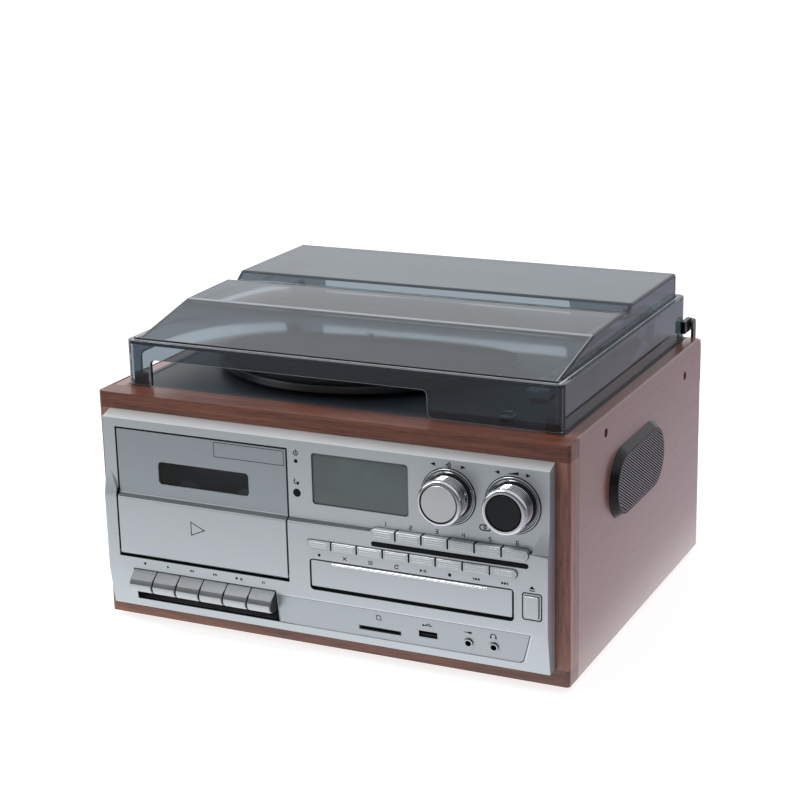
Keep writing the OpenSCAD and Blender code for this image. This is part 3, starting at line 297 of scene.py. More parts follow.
def turned(bm, profile, x, z, steps=96, ends=(False, True)):
    """Turns a profile of (radius, y) about an axis that runs from front to back."""
    rings = []
    for radius, y in profile:
        rings.append(
            [
                at(
                    x + radius * math.cos(2 * math.pi * k / steps),
                    y,
                    z + radius * math.sin(2 * math.pi * k / steps),
                )
                for k in range(steps)
            ]
        )
    return loft(bm, rings, ends)


def spun(bm, profile, x, y, steps=96, ends=(False, False)):
    """Turns a profile of (radius, z) about an upright axis."""
    rings = []
    for radius, z in profile:
        rings.append(
            [
                at(
                    x + radius * math.cos(2 * math.pi * k / steps),
                    y + radius * math.sin(2 * math.pi * k / steps),
                    z,
                )
                for k in range(steps)
            ]
        )
    return loft(bm, rings, ends)


def flat_shape(bm, outline, lift, sink, place):
    """A thin raised shape: outline points (u, v) placed by place(u, v, height)."""
    top = [place(u, v, lift) for u, v in outline]
    low = [place(u, v, -sink) for u, v in outline]
    loft(bm, [low, top], (True, True))


def front_place(y):
    """Places marks on an upright face of the front panel."""
    return lambda u, v, h: at(u, y - h, v)


def chin_place(u, v, h):
    """Places marks on the sloping chin: v runs up it from the ridge, so it is negative there."""
    c, s = math.cos(CHIN_TILT), math.sin(CHIN_TILT)
    return at(u, LOWER_Y - v * s + (0.5 - h) * c, RIDGE_Z + v * c + (0.5 - h) * s)


# Outlines of marks, as lists of (u, v)


def disc(u, v, r, steps=24):
    return [
        (
            u + r * math.cos(2 * math.pi * k / steps),
            v + r * math.sin(2 * math.pi * k / steps),
        )
        for k in range(steps)
    ]


def box_shape(u, v, w, h):
    return [
        (u - w / 2, v - h / 2),
        (u + w / 2, v - h / 2),
        (u + w / 2, v + h / 2),
        (u - w / 2, v + h / 2),
    ]


def arrow(u, v, w, h, to=1):
    return [(u - to * w / 2, v - h / 2), (u + to * w / 2, v), (u - to * w / 2, v + h / 2)]


def stroke(points, w, closed=False):
    """Thin quads along a line of points."""
    out = []
    pairs = list(zip(points, points[1:] + ([points[0]] if closed else [])))
    if not closed:
        pairs = list(zip(points, points[1:]))
    for (u0, v0), (u1, v1) in pairs:
        length = math.hypot(u1 - u0, v1 - v0) or 1.0
        du, dv = (u1 - u0) / length * w * 0.62, (v1 - v0) / length * w * 0.62
        out.append(
            [
                (u0 - du - dv, v0 - dv + du),
                (u0 - du + dv, v0 - dv - du),
                (u1 + du + dv, v1 + dv - du),
                (u1 + du - dv, v1 + dv + du),
            ]
        )
    return out


def arc(u, v, r, start, end, steps=16):
    return [
        (
            u + r * math.cos(math.radians(start + (end - start) * k / steps)),
            v + r * math.sin(math.radians(start + (end - start) * k / steps)),
        )
        for k in range(steps + 1)
    ]


def rounded(u, v, w, h, r, steps):
    """A rectangle with round corners."""
    out = []
    for su, sv, start in ((1, 1, 0), (-1, 1, 90), (-1, -1, 180), (1, -1, 270)):
        out += arc(u + su * (w / 2 - r), v + sv * (h / 2 - r), r, start, start + 90, steps)
    return out


def arrow_up(u, v, w, h):
    return [(u - w / 2, v - h / 2), (u + w / 2, v - h / 2), (u, v + h / 2)]


# The seven bars of a plain numeral, as the ends of each, and the bars that each numeral uses
BARS = {
    "top": ((-1, 2), (1, 2)),
    "upper_left": ((-1, 0), (-1, 2)),
    "upper_right": ((1, 0), (1, 2)),
    "middle": ((-1, 0), (1, 0)),
    "lower_left": ((-1, -2), (-1, 0)),
    "lower_right": ((1, -2), (1, 0)),
    "foot": ((-1, -2), (1, -2)),
}
NUMERALS = {
    1: ("upper_right", "lower_right"),
    2: ("top", "upper_right", "middle", "lower_left", "foot"),
    3: ("top", "upper_right", "middle", "lower_right", "foot"),
    4: ("upper_left", "middle", "upper_right", "lower_right"),
    5: ("top", "upper_left", "middle", "lower_right", "foot"),
    6: ("top", "upper_left", "middle", "lower_left", "lower_right", "foot"),
}


def digit(number, u, v, height, weight):
    """The strokes of a plain numeral."""
    unit = height / 4
    shapes = []
    for bar in NUMERALS[number]:
        (u0, v0), (u1, v1) = BARS[bar]
        shapes += stroke([(u + u0 * unit * 1.1, v + v0 * unit), (u + u1 * unit * 1.1, v + v1 * unit)], weight)
    return shapes


def marks(name, shapes, place, finish_name, body="cabinet", lift=0.06, sink=0.05):
    """One piece of thin shapes: printed marks, painted highlight lines or painted shade lines."""
    bm = bmesh.new()
    for shape in shapes:
        flat_shape(bm, shape, lift, sink, place)
    return piece(name, bm, finish(finish_name), body, sharp=20.0)


# Finishes


def shader(name, colour=(0.5, 0.5, 0.5), roughness=0.5, metallic=0.0, **sockets):
    """A material with its Principled node, ready for more nodes."""
    material = bpy.data.materials.new(name)
    material.use_nodes = True
    tree = material.node_tree
    surface = tree.nodes["Principled BSDF"]
    surface.inputs["Base Color"].default_value = (*colour, 1.0)
    surface.inputs["Roughness"].default_value = roughness
    surface.inputs["Metallic"].default_value = metallic
    for socket, value in sockets.items():
        surface.inputs[socket.replace("_", " ")].default_value = value
    material.diffuse_color = (*colour, 1.0)
    return material, tree, surface


def add(tree, kind, settings=None, **inputs):
    """Adds a node; inputs are constants or sockets to link."""
    node = tree.nodes.new(kind)
    for key, value in (settings or {}).items():
        setattr(node, key, value)
    for key, value in inputs.items():
        socket = node.inputs[int(key[1:]) if key[0] == "_" and key[1:].isdigit() else key.replace("_", " ")]
        if isinstance(value, bpy.types.NodeSocket):
            tree.links.new(value, socket)
        else:
            socket.default_value = value
    return node


def stretched(tree, scale):
    """Object coordinates stretched by a scale for each axis, in cycles per metre."""
    coords = add(tree, "ShaderNodeTexCoord")
    return add(tree, "ShaderNodeMapping", Vector=coords.outputs["Object"], Scale=scale).outputs["Vector"]


def noise(tree, vector, scale=1.0, detail=4.0, rough=0.55):
    return add(tree, "ShaderNodeTexNoise", Vector=vector, Scale=scale, Detail=detail, Roughness=rough).outputs["Fac"]


def ramp(tree, factor, stops):
    """A colour ramp; stops are (position, (r, g, b))."""
    node = add(tree, "ShaderNodeValToRGB", Fac=factor)
    elements = node.color_ramp.elements
    while len(elements) < len(stops):
        elements.new(0.5)
    for element, (position, colour) in zip(elements, stops):
        element.position = position
        element.color = (*colour, 1.0)
    return node.outputs["Color"]


def span_of(tree, factor, low, high):
    """Maps a factor from 0..1 to low..high."""
    return add(tree, "ShaderNodeMapRange", Value=factor, _3=low, _4=high).outputs["Result"]


def bump(tree, surface, height, strength, distance):
    """Feeds a height into the surface's normal; distance is in metres."""
    node = add(tree, "ShaderNodeBump", Height=height, Strength=strength, Distance=distance)
    tree.links.new(node.outputs["Normal"], surface.inputs["Normal"])


def walnut_finish(name, along, dark, light, shine=0.3, figure=0.8, lacquer=0.35):
    """Lacquered walnut film with its grain along one axis (0 x, 1 y, 2 z)."""
    material, tree, surface = shader(name, dark, shine, Coat_Weight=lacquer, Coat_Roughness=0.2)
    long_scale = [240.0, 240.0, 240.0]
    long_scale[along] = 8.0
    pore_scale = [1250.0, 1250.0, 1250.0]
    pore_scale[along] = 45.0
    bands = noise(tree, stretched(tree, long_scale), 1.0, 5.0, 0.6)
    pores = noise(tree, stretched(tree, pore_scale), 1.0, 3.0, 0.7)
    tone = ramp(tree, bands, [(0.30, dark), (0.72, light)])
    fine = ramp(tree, pores, [(0.38, (0.45, 0.42, 0.40)), (0.52, (1.0, 1.0, 1.0))])
    colour = add(tree, "ShaderNodeMix", {"data_type": "RGBA", "blend_type": "MULTIPLY"}, _0=figure, _6=tone, _7=fine)
    tree.links.new(colour.outputs[2], surface.inputs["Base Color"])
    tree.links.new(span_of(tree, pores, shine + 0.12, shine - 0.04), surface.inputs["Roughness"])
    bump(tree, surface, pores, 0.25, 0.00006)
    return material


def paint_finish(name, colour, roughness=0.4, metallic=0.75, sparkle=0.05, coat=0.0):
    """Metallic paint on moulded plastic: fine flakes and a soft unevenness."""
    material, tree, surface = shader(name, colour, roughness, metallic, Coat_Weight=coat, Coat_Roughness=0.15)
    flakes = noise(tree, stretched(tree, (4200.0,) * 3), 1.0, 2.0, 0.6)
    cloud = noise(tree, stretched(tree, (26.0,) * 3), 1.0, 3.0, 0.5)
    low = tuple(c * (1.0 - sparkle) for c in colour)
    high = tuple(min(1.0, c * (1.0 + sparkle)) for c in colour)
    tree.links.new(ramp(tree, flakes, [(0.3, low), (0.7, high)]), surface.inputs["Base Color"])
    tree.links.new(span_of(tree, cloud, roughness - 0.05, roughness + 0.06), surface.inputs["Roughness"])
    bump(tree, surface, flakes, 0.06, 0.00003)
    return material


def moulded_finish(name, colour, roughness=0.45, grain=0.00004, coat=0.0, shine=0.5):
    """Moulded plastic with a fine spark-eroded grain."""
    material, tree, surface = shader(
        name, colour, roughness, 0.0, Coat_Weight=coat, Coat_Roughness=0.08, Specular_IOR_Level=shine
    )
    fine = noise(tree, stretched(tree, (1900.0,) * 3), 1.0, 3.0, 0.6)
    cloud = noise(tree, stretched(tree, (35.0,) * 3), 1.0, 3.0, 0.5)
    low = tuple(c * 0.88 for c in colour)
    high = tuple(min(1.0, c * 1.12) for c in colour)
    tree.links.new(ramp(tree, cloud, [(0.3, low), (0.7, high)]), surface.inputs["Base Color"])
    tree.links.new(span_of(tree, fine, max(0.03, roughness - 0.05), roughness + 0.07), surface.inputs["Roughness"])
    bump(tree, surface, fine, 0.3, grain)
    return material


def metal_finish(name, colour, roughness=0.12, brushed=None):
    """Bare or plated metal; brushed gives a stretch for each axis in cycles per metre."""
    material, tree, surface = shader(name, colour, roughness, 1.0)
    lines = noise(tree, stretched(tree, brushed or (900.0,) * 3), 1.0, 3.0, 0.6)
    cloud = noise(tree, stretched(tree, (60.0,) * 3), 1.0, 2.0, 0.5)
    low = tuple(c * 0.93 for c in colour)
    tree.links.new(ramp(tree, cloud, [(0.3, low), (0.7, colour)]), surface.inputs["Base Color"])
    tree.links.new(span_of(tree, lines, max(0.03, roughness - 0.04), roughness + 0.08), surface.inputs["Roughness"])
    bump(tree, surface, lines, 0.10 if brushed else 0.02, 0.00001)
    return material


def smoke_finish(name, tint, bend=1.59, clear=0.95):
    """Clear smoked plastic: it tints what lies behind it, mirrors the room and lets lamps through."""
    material, tree, surface = shader(name, tint, 0.04, 0.0, IOR=bend, Transmission_Weight=clear)
    haze = noise(tree, stretched(tree, (40.0,) * 3), 1.0, 3.0, 0.5)
    tree.links.new(span_of(tree, haze, 0.03, 0.07), surface.inputs["Roughness"])
    lets_through = add(tree, "ShaderNodeBsdfTransparent", Color=(*tint, 1.0))
    path = add(tree, "ShaderNodeLightPath")
    both = add(
        tree,
        "ShaderNodeMixShader",
        _0=path.outputs["Is Shadow Ray"],
        _1=surface.outputs["BSDF"],
        _2=lets_through.outputs["BSDF"],
    )
    tree.links.new(both.outputs["Shader"], tree.nodes["Material Output"].inputs["Surface"])
    return material


FINISHES = {}


def finish(name):
    """The finish of that name, made when it is first asked for."""
    if name not in FINISHES:
        FINISHES[name] = RECIPES[name]()
    return FINISHES[name]


def tone(name):
    """One of the colours that a user may change."""
    return tuple(getattr(settings("finishes"), name))


RECIPES = {
    "walnut rail": lambda: walnut_finish("walnut_rail", 0, tone("walnut_dark"), tone("walnut_light")),
    "walnut stile": lambda: walnut_finish("walnut_stile", 2, tone("stile_dark"), tone("stile_light")),
    "walnut side": lambda: walnut_finish("walnut_side", 1, tone("side_dark"), tone("side_light"), 0.3, 0.2, 1.0),
    "black board": lambda: moulded_finish("black_board", (0.03, 0.028, 0.026), 0.7, 0.00008),
    "silver paint": lambda: paint_finish("silver_paint", tone("silver"), 0.38, 0.7),
    # painted shade: a darker copy of the silver paint for the door above its ledge
    "door paint": lambda: paint_finish("door_paint", (0.375, 0.410, 0.437), 0.38, 0.7),
    # painted shade: a darker copy of the silver paint for the chin's shallow field
    "chin paint": lambda: paint_finish("chin_paint", (0.42, 0.45, 0.475), 0.4, 0.7),
    # painted shade: a dark paint on the ledge's top and curve and on the chin's inner line
    "ledge paint": lambda: moulded_finish("ledge_paint", (0.085, 0.095, 0.103), 0.6, shine=0.25),
    # painted highlight: a lighter copy of the silver paint, for the top bevel, the buttons, their ribs, the eject
    # button's sides and the bright lines
    "bright paint": lambda: paint_finish("bright_paint", (0.66, 0.69, 0.71), 0.38, 0.7, 0.03),
    # painted shade: a darker copy of the silver paint for the buttons' fronts
    "button hollow": lambda: paint_finish("button_hollow", (0.50, 0.525, 0.54), 0.4, 0.7),
    "black plastic": lambda: moulded_finish("black_plastic", tone("black"), 0.5, shine=0.3),
    "deck plastic": lambda: moulded_finish("deck_plastic", tone("deck"), 0.36),
    "gloss black": lambda: moulded_finish("gloss_black", (0.006, 0.007, 0.008), 0.14, 0.00001, 0.0, shine=0.32),
    "bright trim": lambda: metal_finish("bright_trim", (0.90, 0.91, 0.93), 0.2),
    "grille metal": lambda: metal_finish("grille_metal", (0.29, 0.30, 0.315), 0.35),
    "chrome": lambda: metal_finish("chrome", (0.66, 0.675, 0.70), 0.09),
    "knob face": lambda: metal_finish("knob_face", (0.66, 0.68, 0.69), 0.32),
    "ring metal": lambda: metal_finish("ring_metal", (0.40, 0.42, 0.44), 0.2),
    # painted highlight: a lighter paint for the keys' fronts
    "key front": lambda: paint_finish("key_front", (0.55, 0.575, 0.595), 0.42, 0.5),
    # painted shade: a dark paint for the keys' ridge
    "key ridge": lambda: moulded_finish("key_ridge", (0.10, 0.107, 0.113), 0.5, shine=0.3),
    # painted shade: a darker paint for the keys' tops and ends
    "key top": lambda: paint_finish("key_top", (0.175, 0.186, 0.195), 0.5, 0.4),
    "satin silver": lambda: metal_finish("satin_silver", (0.68, 0.70, 0.73), 0.27),
    "steel": lambda: metal_finish("steel", (0.5, 0.51, 0.53), 0.3),
    "dark steel": lambda: metal_finish("dark_steel", (0.16, 0.165, 0.175), 0.3),
    "rubber": lambda: moulded_finish("rubber", (0.012, 0.012, 0.013), 0.6, 0.00008, shine=0.25),
    "cone fibre": lambda: moulded_finish("cone_fibre", (0.018, 0.018, 0.02), 0.8, 0.0002),
    # painted highlight: the lid's bright edge lines
    "lit edge": lambda: moulded_finish("lit_edge", (0.25, 0.27, 0.295), 0.2, 0.0, 0.5),
    # painted shade: the lid's dark edge lines
    "dark edge": lambda: moulded_finish("dark_edge", (0.010, 0.013, 0.016), 0.15, 0.0, shine=0.35),
    # painted highlight: a light line on the lid's ledge
    "bead": lambda: moulded_finish("bead", (0.60, 0.63, 0.66), 0.2, 0.0, 0.4),
    "smoke": lambda: smoke_finish("smoked_plastic", tone("smoke")),
    "dark window": lambda: smoke_finish("dark_window", (0.42, 0.45, 0.48), 1.3, 1.0),
    "ink": lambda: moulded_finish("ink", (0.009, 0.010, 0.012), 0.65, shine=0.08),
    "liquid crystal": lambda: moulded_finish("liquid_crystal", tone("display"), 0.25, 0.0, 0.2),
    "board green": lambda: moulded_finish("board_green", (0.02, 0.11, 0.05), 0.4),
    "white plastic": lambda: moulded_finish("white_plastic", (0.7, 0.7, 0.68), 0.4),
    "red plastic": lambda: moulded_finish("red_plastic", (0.35, 0.03, 0.03), 0.35),
    "aluminium": lambda: metal_finish("aluminium", (0.10, 0.105, 0.11), 0.3),
}


def dress(node, name):
    """Gives a node's own object a finish."""
    obj = frame["nodes"][node]
    obj.data.materials.clear()
    obj.data.materials.append(finish(name))


# What a user would change


class StageSettings(bpy.types.PropertyGroup):
    lens: bpy.props.FloatProperty(name="Lens", description="Focal length of the camera", default=86.45, min=20.0, unit="CAMERA")
    camera_x: bpy.props.FloatProperty(name="Camera X", description="Camera to the right of the middle", default=0.51275, unit="LENGTH")
    camera_y: bpy.props.FloatProperty(name="Camera Y", description="Camera in front of the wood, as a negative number", default=-0.96439, unit="LENGTH")
    camera_z: bpy.props.FloatProperty(name="Camera Z", description="Camera above the underside of the wood", default=0.48216, unit="LENGTH")
    azimuth: bpy.props.FloatProperty(name="Azimuth", description="Angle of the view from straight ahead", default=math.radians(25.509), subtype="ANGLE")
    elevation: bpy.props.FloatProperty(name="Elevation", description="Angle that the camera looks down", default=math.radians(16.580), subtype="ANGLE")
    roll: bpy.props.FloatProperty(name="Roll", description="Tilt of the camera about its line of sight", default=math.radians(-1.312), subtype="ANGLE")
    room_light: bpy.props.FloatProperty(name="Room light", description="Strength of the even light of the room", default=0.85, min=0.0)
    key_light: bpy.props.FloatProperty(name="Key light", description="Power of the large lamp above", default=10.0, min=0.0, unit="POWER")


def colour_property(name, description, default):
    """A colour that a user may change."""
    return bpy.props.FloatVectorProperty(
        name=name, description=description, default=default, size=3, min=0.0, max=1.0, subtype="COLOR"
    )


class FinishSettings(bpy.types.PropertyGroup):
    walnut_dark: colour_property("Rail, dark", "Dark streaks of the rails' walnut", (0.110, 0.031, 0.016))
    walnut_light: colour_property("Rail, light", "Light streaks of the rails' walnut", (0.250, 0.085, 0.047))
    stile_dark: colour_property("Stile, dark", "Dark streaks of the stiles' walnut", (0.230, 0.085, 0.055))
    stile_light: colour_property("Stile, light", "Light streaks of the stiles' walnut", (0.420, 0.190, 0.130))
    side_dark: colour_property("Side, dark", "Dark streaks of the side boards", (0.215, 0.073, 0.050))
    side_light: colour_property("Side, light", "Light streaks of the side boards", (0.248, 0.086, 0.060))
    silver: colour_property("Silver", "Paint of the front panel", (0.53, 0.565, 0.59))
    black: colour_property("Black", "Plain black plastic", (0.016, 0.017, 0.02))
    deck: colour_property("Deck", "Plastic of the turntable's deck", (0.036, 0.040, 0.046))
    smoke: colour_property("Smoke", "Tint of the smoked lid", (0.250, 0.298, 0.342))
    display: colour_property("Display", "The display when it is off", (0.10, 0.122, 0.122))


class ControlSettings(bpy.types.PropertyGroup):
    knob: bpy.props.FloatProperty(
        name="Knob", description="Radius of a knob's body", default=0.0131, min=0.008, unit="LENGTH"
    )
    flange: bpy.props.FloatProperty(
        name="Flange", description="Radius of the round rim at a knob's front", default=0.014, min=0.009, unit="LENGTH"
    )
    ring: bpy.props.FloatProperty(
        name="Ring", description="Radius of the dished ring behind a knob", default=0.017, min=0.012, unit="LENGTH"
    )


class LidSettings(bpy.types.PropertyGroup):
    corner: bpy.props.FloatProperty(name="Corner", description="Radius of the skirt's upright corners", default=0.005, unit="LENGTH")
    edge: bpy.props.FloatProperty(name="Edge", description="Radius of the roof's edges", default=0.0016, unit="LENGTH")


def settings(group):
    return getattr(bpy.context.scene, "music_centre_" + group)


class PieceOperator:
    """What the operators share."""

    bl_options = {"REGISTER", "UNDO"}

    def execute(self, context):
        self.build(context)
        return {"FINISHED"}


class MUSIC_OT_stage(PieceOperator, bpy.types.Operator):
    """Makes the camera, the pale floor and the soft studio light"""

    bl_idname = "music.stage"
    bl_label = "Stage"

    def build(self, context):
        s = settings("stage")
        scene = context.scene
        camera = bpy.data.objects.new("camera", bpy.data.cameras.new("camera"))
        scene.collection.objects.link(camera)
        camera.data.lens = s.lens
        camera.data.sensor_width = 36.0
        camera.data.clip_end = 20.0
        camera.location = (s.camera_x, FRONT + s.camera_y, UNDER + s.camera_z)
        forward = Vector(
            (
                -math.sin(s.azimuth) * math.cos(s.elevation),
                math.cos(s.azimuth) * math.cos(s.elevation),
                -math.sin(s.elevation),
            )
        )
        right = forward.cross(Vector((0, 0, 1))).normalized()
        up = right.cross(forward)
        tilted_right = right * math.cos(s.roll) + up * math.sin(s.roll)
        tilted_up = tilted_right.cross(forward)
        camera.rotation_mode = "QUATERNION"
        camera.rotation_quaternion = Matrix((tilted_right, tilted_up, -forward)).transposed().to_quaternion()
        scene.camera = camera

        scene.view_settings.view_transform = "Standard"
        scene.view_settings.look = "None"

        world = bpy.data.worlds.new("studio")
        scene.world = world
        world.use_nodes = True
        tree = world.node_tree
        back = tree.nodes["Background"]
        coords = add(tree, "ShaderNodeTexCoord")
        axes = add(tree, "ShaderNodeSeparateXYZ", Vector=coords.outputs["Generated"])
        lean = add(tree, "ShaderNodeMath", {"operation": "MULTIPLY_ADD"}, _0=axes.outputs["Y"], _1=0.55, _2=axes.outputs["Z"])
        sky = ramp(
            tree,
            lean.outputs["Value"],
            [(0.0, (0.15, 0.16, 0.17)), (0.20, (0.24, 0.25, 0.27)), (0.42, (0.80, 0.82, 0.85)), (0.70, (0.97, 0.98, 1.0))],
        )
        tree.links.new(sky, back.inputs["Color"])
        back.inputs["Strength"].default_value = s.room_light
        seen = add(tree, "ShaderNodeBackground", Color=(1.0, 1.0, 1.0, 1.0), Strength=1.0)
        path = add(tree, "ShaderNodeLightPath")
        both = add(tree, "ShaderNodeMixShader", _0=path.outputs["Is Camera Ray"], _1=back.outputs["Background"], _2=seen.outputs["Background"])
        tree.links.new(both.outputs["Shader"], tree.nodes["World Output"].inputs["Surface"])

        bm = bmesh.new()
        reach = 6.0
        corners = [bm.verts.new((sx * reach, sy * reach, -0.0002)) for sx, sy in ((-1, -1), (1, -1), (1, 1), (-1, 1))]
        bm.faces.new(corners)
        mesh = bpy.data.meshes.new("floor")
        bm.to_mesh(mesh)
        bm.free()
        floor = bpy.data.objects.new("floor", mesh)
        scene.collection.objects.link(floor)
        material, tree, surface = shader("pale_floor", (0.45, 0.45, 0.45), 0.8)
        surface.inputs["Emission Color"].default_value = (1.0, 1.0, 1.0, 1.0)
        surface.inputs["Emission Strength"].default_value = 0.78
        place = add(tree, "ShaderNodeTexCoord")
        axes = add(tree, "ShaderNodeSeparateXYZ", Vector=place.outputs["Object"])
        ahead = add(tree, "ShaderNodeMapRange", Value=axes.outputs["Y"], _1=-0.60, _2=-0.17, _3=0.28, _4=1.18)
        side = add(tree, "ShaderNodeMapRange", Value=axes.outputs["X"], _1=0.16, _2=0.185)
        beside = add(tree, "ShaderNodeMapRange", Value=axes.outputs["X"], _1=0.19, _2=0.44, _3=0.70, _4=0.34)
        glow = add(
            tree,
            "ShaderNodeMix",
            _0=side.outputs["Result"],
            _2=ahead.outputs["Result"],
            _3=beside.outputs["Result"],
        )
        tint = add(
            tree,
            "ShaderNodeMix",
            {"data_type": "RGBA"},
            _0=side.outputs["Result"],
            _6=(0.97, 0.985, 1.0, 1.0),
            _7=(0.98, 0.90, 1.0, 1.0),
        )
        cards = add(tree, "ShaderNodeEmission", Color=tint.outputs[2], Strength=glow.outputs[0])
        seen = add(tree, "ShaderNodeLightPath")
        choice = add(
            tree,
            "ShaderNodeMixShader",
            _0=seen.outputs["Is Camera Ray"],
            _1=cards.outputs["Emission"],
            _2=surface.outputs["BSDF"],
        )
        tree.links.new(choice.outputs["Shader"], tree.nodes["Material Output"].inputs["Surface"])
        mesh.materials.append(material)

        self.lamp("lamp_above", (-0.62, -0.48, 1.3), (0.0, 0.0, 0.12), 0.55, s.key_light)
        self.lamp("lamp_left", (-1.3, -0.9, 0.7), (0.0, 0.0, 0.08), 0.9, s.key_light * 0.5)

    def lamp(self, name, place, target, size, power):
        light = bpy.data.lights.new(name, "AREA")
        light.shape = "SQUARE"
        light.size = size
        light.energy = power
        lamp = bpy.data.objects.new(name, light)
        bpy.context.scene.collection.objects.link(lamp)
        lamp.location = place
        lamp.rotation_mode = "QUATERNION"
        lamp.rotation_quaternion = (Vector(target) - Vector(place)).to_track_quat("-Z", "Y")


class MUSIC_OT_cabinet(PieceOperator, bpy.types.Operator):
    """Builds the walnut box: front frame, side boards, floor, back, feet and screws"""

    bl_idname = "music.cabinet"
    bl_label = "Cabinet"

    def build(self, context):
        stile = HALF_WIDTH - RIM_SIDE
        (_, _, foot), (_, _, head) = span("fascia")
        splits = [(at(side * stile, 0.0, 0.0), (1.0, 0.0, 0.0)) for side in (-1, 1)]
        splits += [(at(0.0, 0.0, z), (0.0, 0.0, 1.0)) for z in (foot, head)]
        eased(
            "front_frame",
            "front_frame_wood",
            ["walnut rail", "walnut stile", "black board"],
            0.5,
            pick=lambda c, n: 2 if self.in_seam(c, n) else int(abs(c.x) > stile and foot < c.z < head),
            splits=splits,
        )
        eased("side_panels", "side_boards", ["walnut side", "black board"], 0.5, pick=lambda c, n: int(self.in_seam(c, n)))
        eased("bottom_panel", "floor_board", ["black board"], 0.4)
        eased("rear_panel", "back_panel", ["black plastic"], 0.25)
        eased("rubber_feet", "feet", ["rubber"], 0.5)
        dress("screws", "steel")


    @staticmethod
    def in_seam(c, n):
        """True on the eased edges where the front board meets the side boards."""
        seam = span("side_panels")[0][1]
        return abs(c.y - seam) < 0.7 and abs(n.y) > 0.2 and abs(n.y) < 0.97


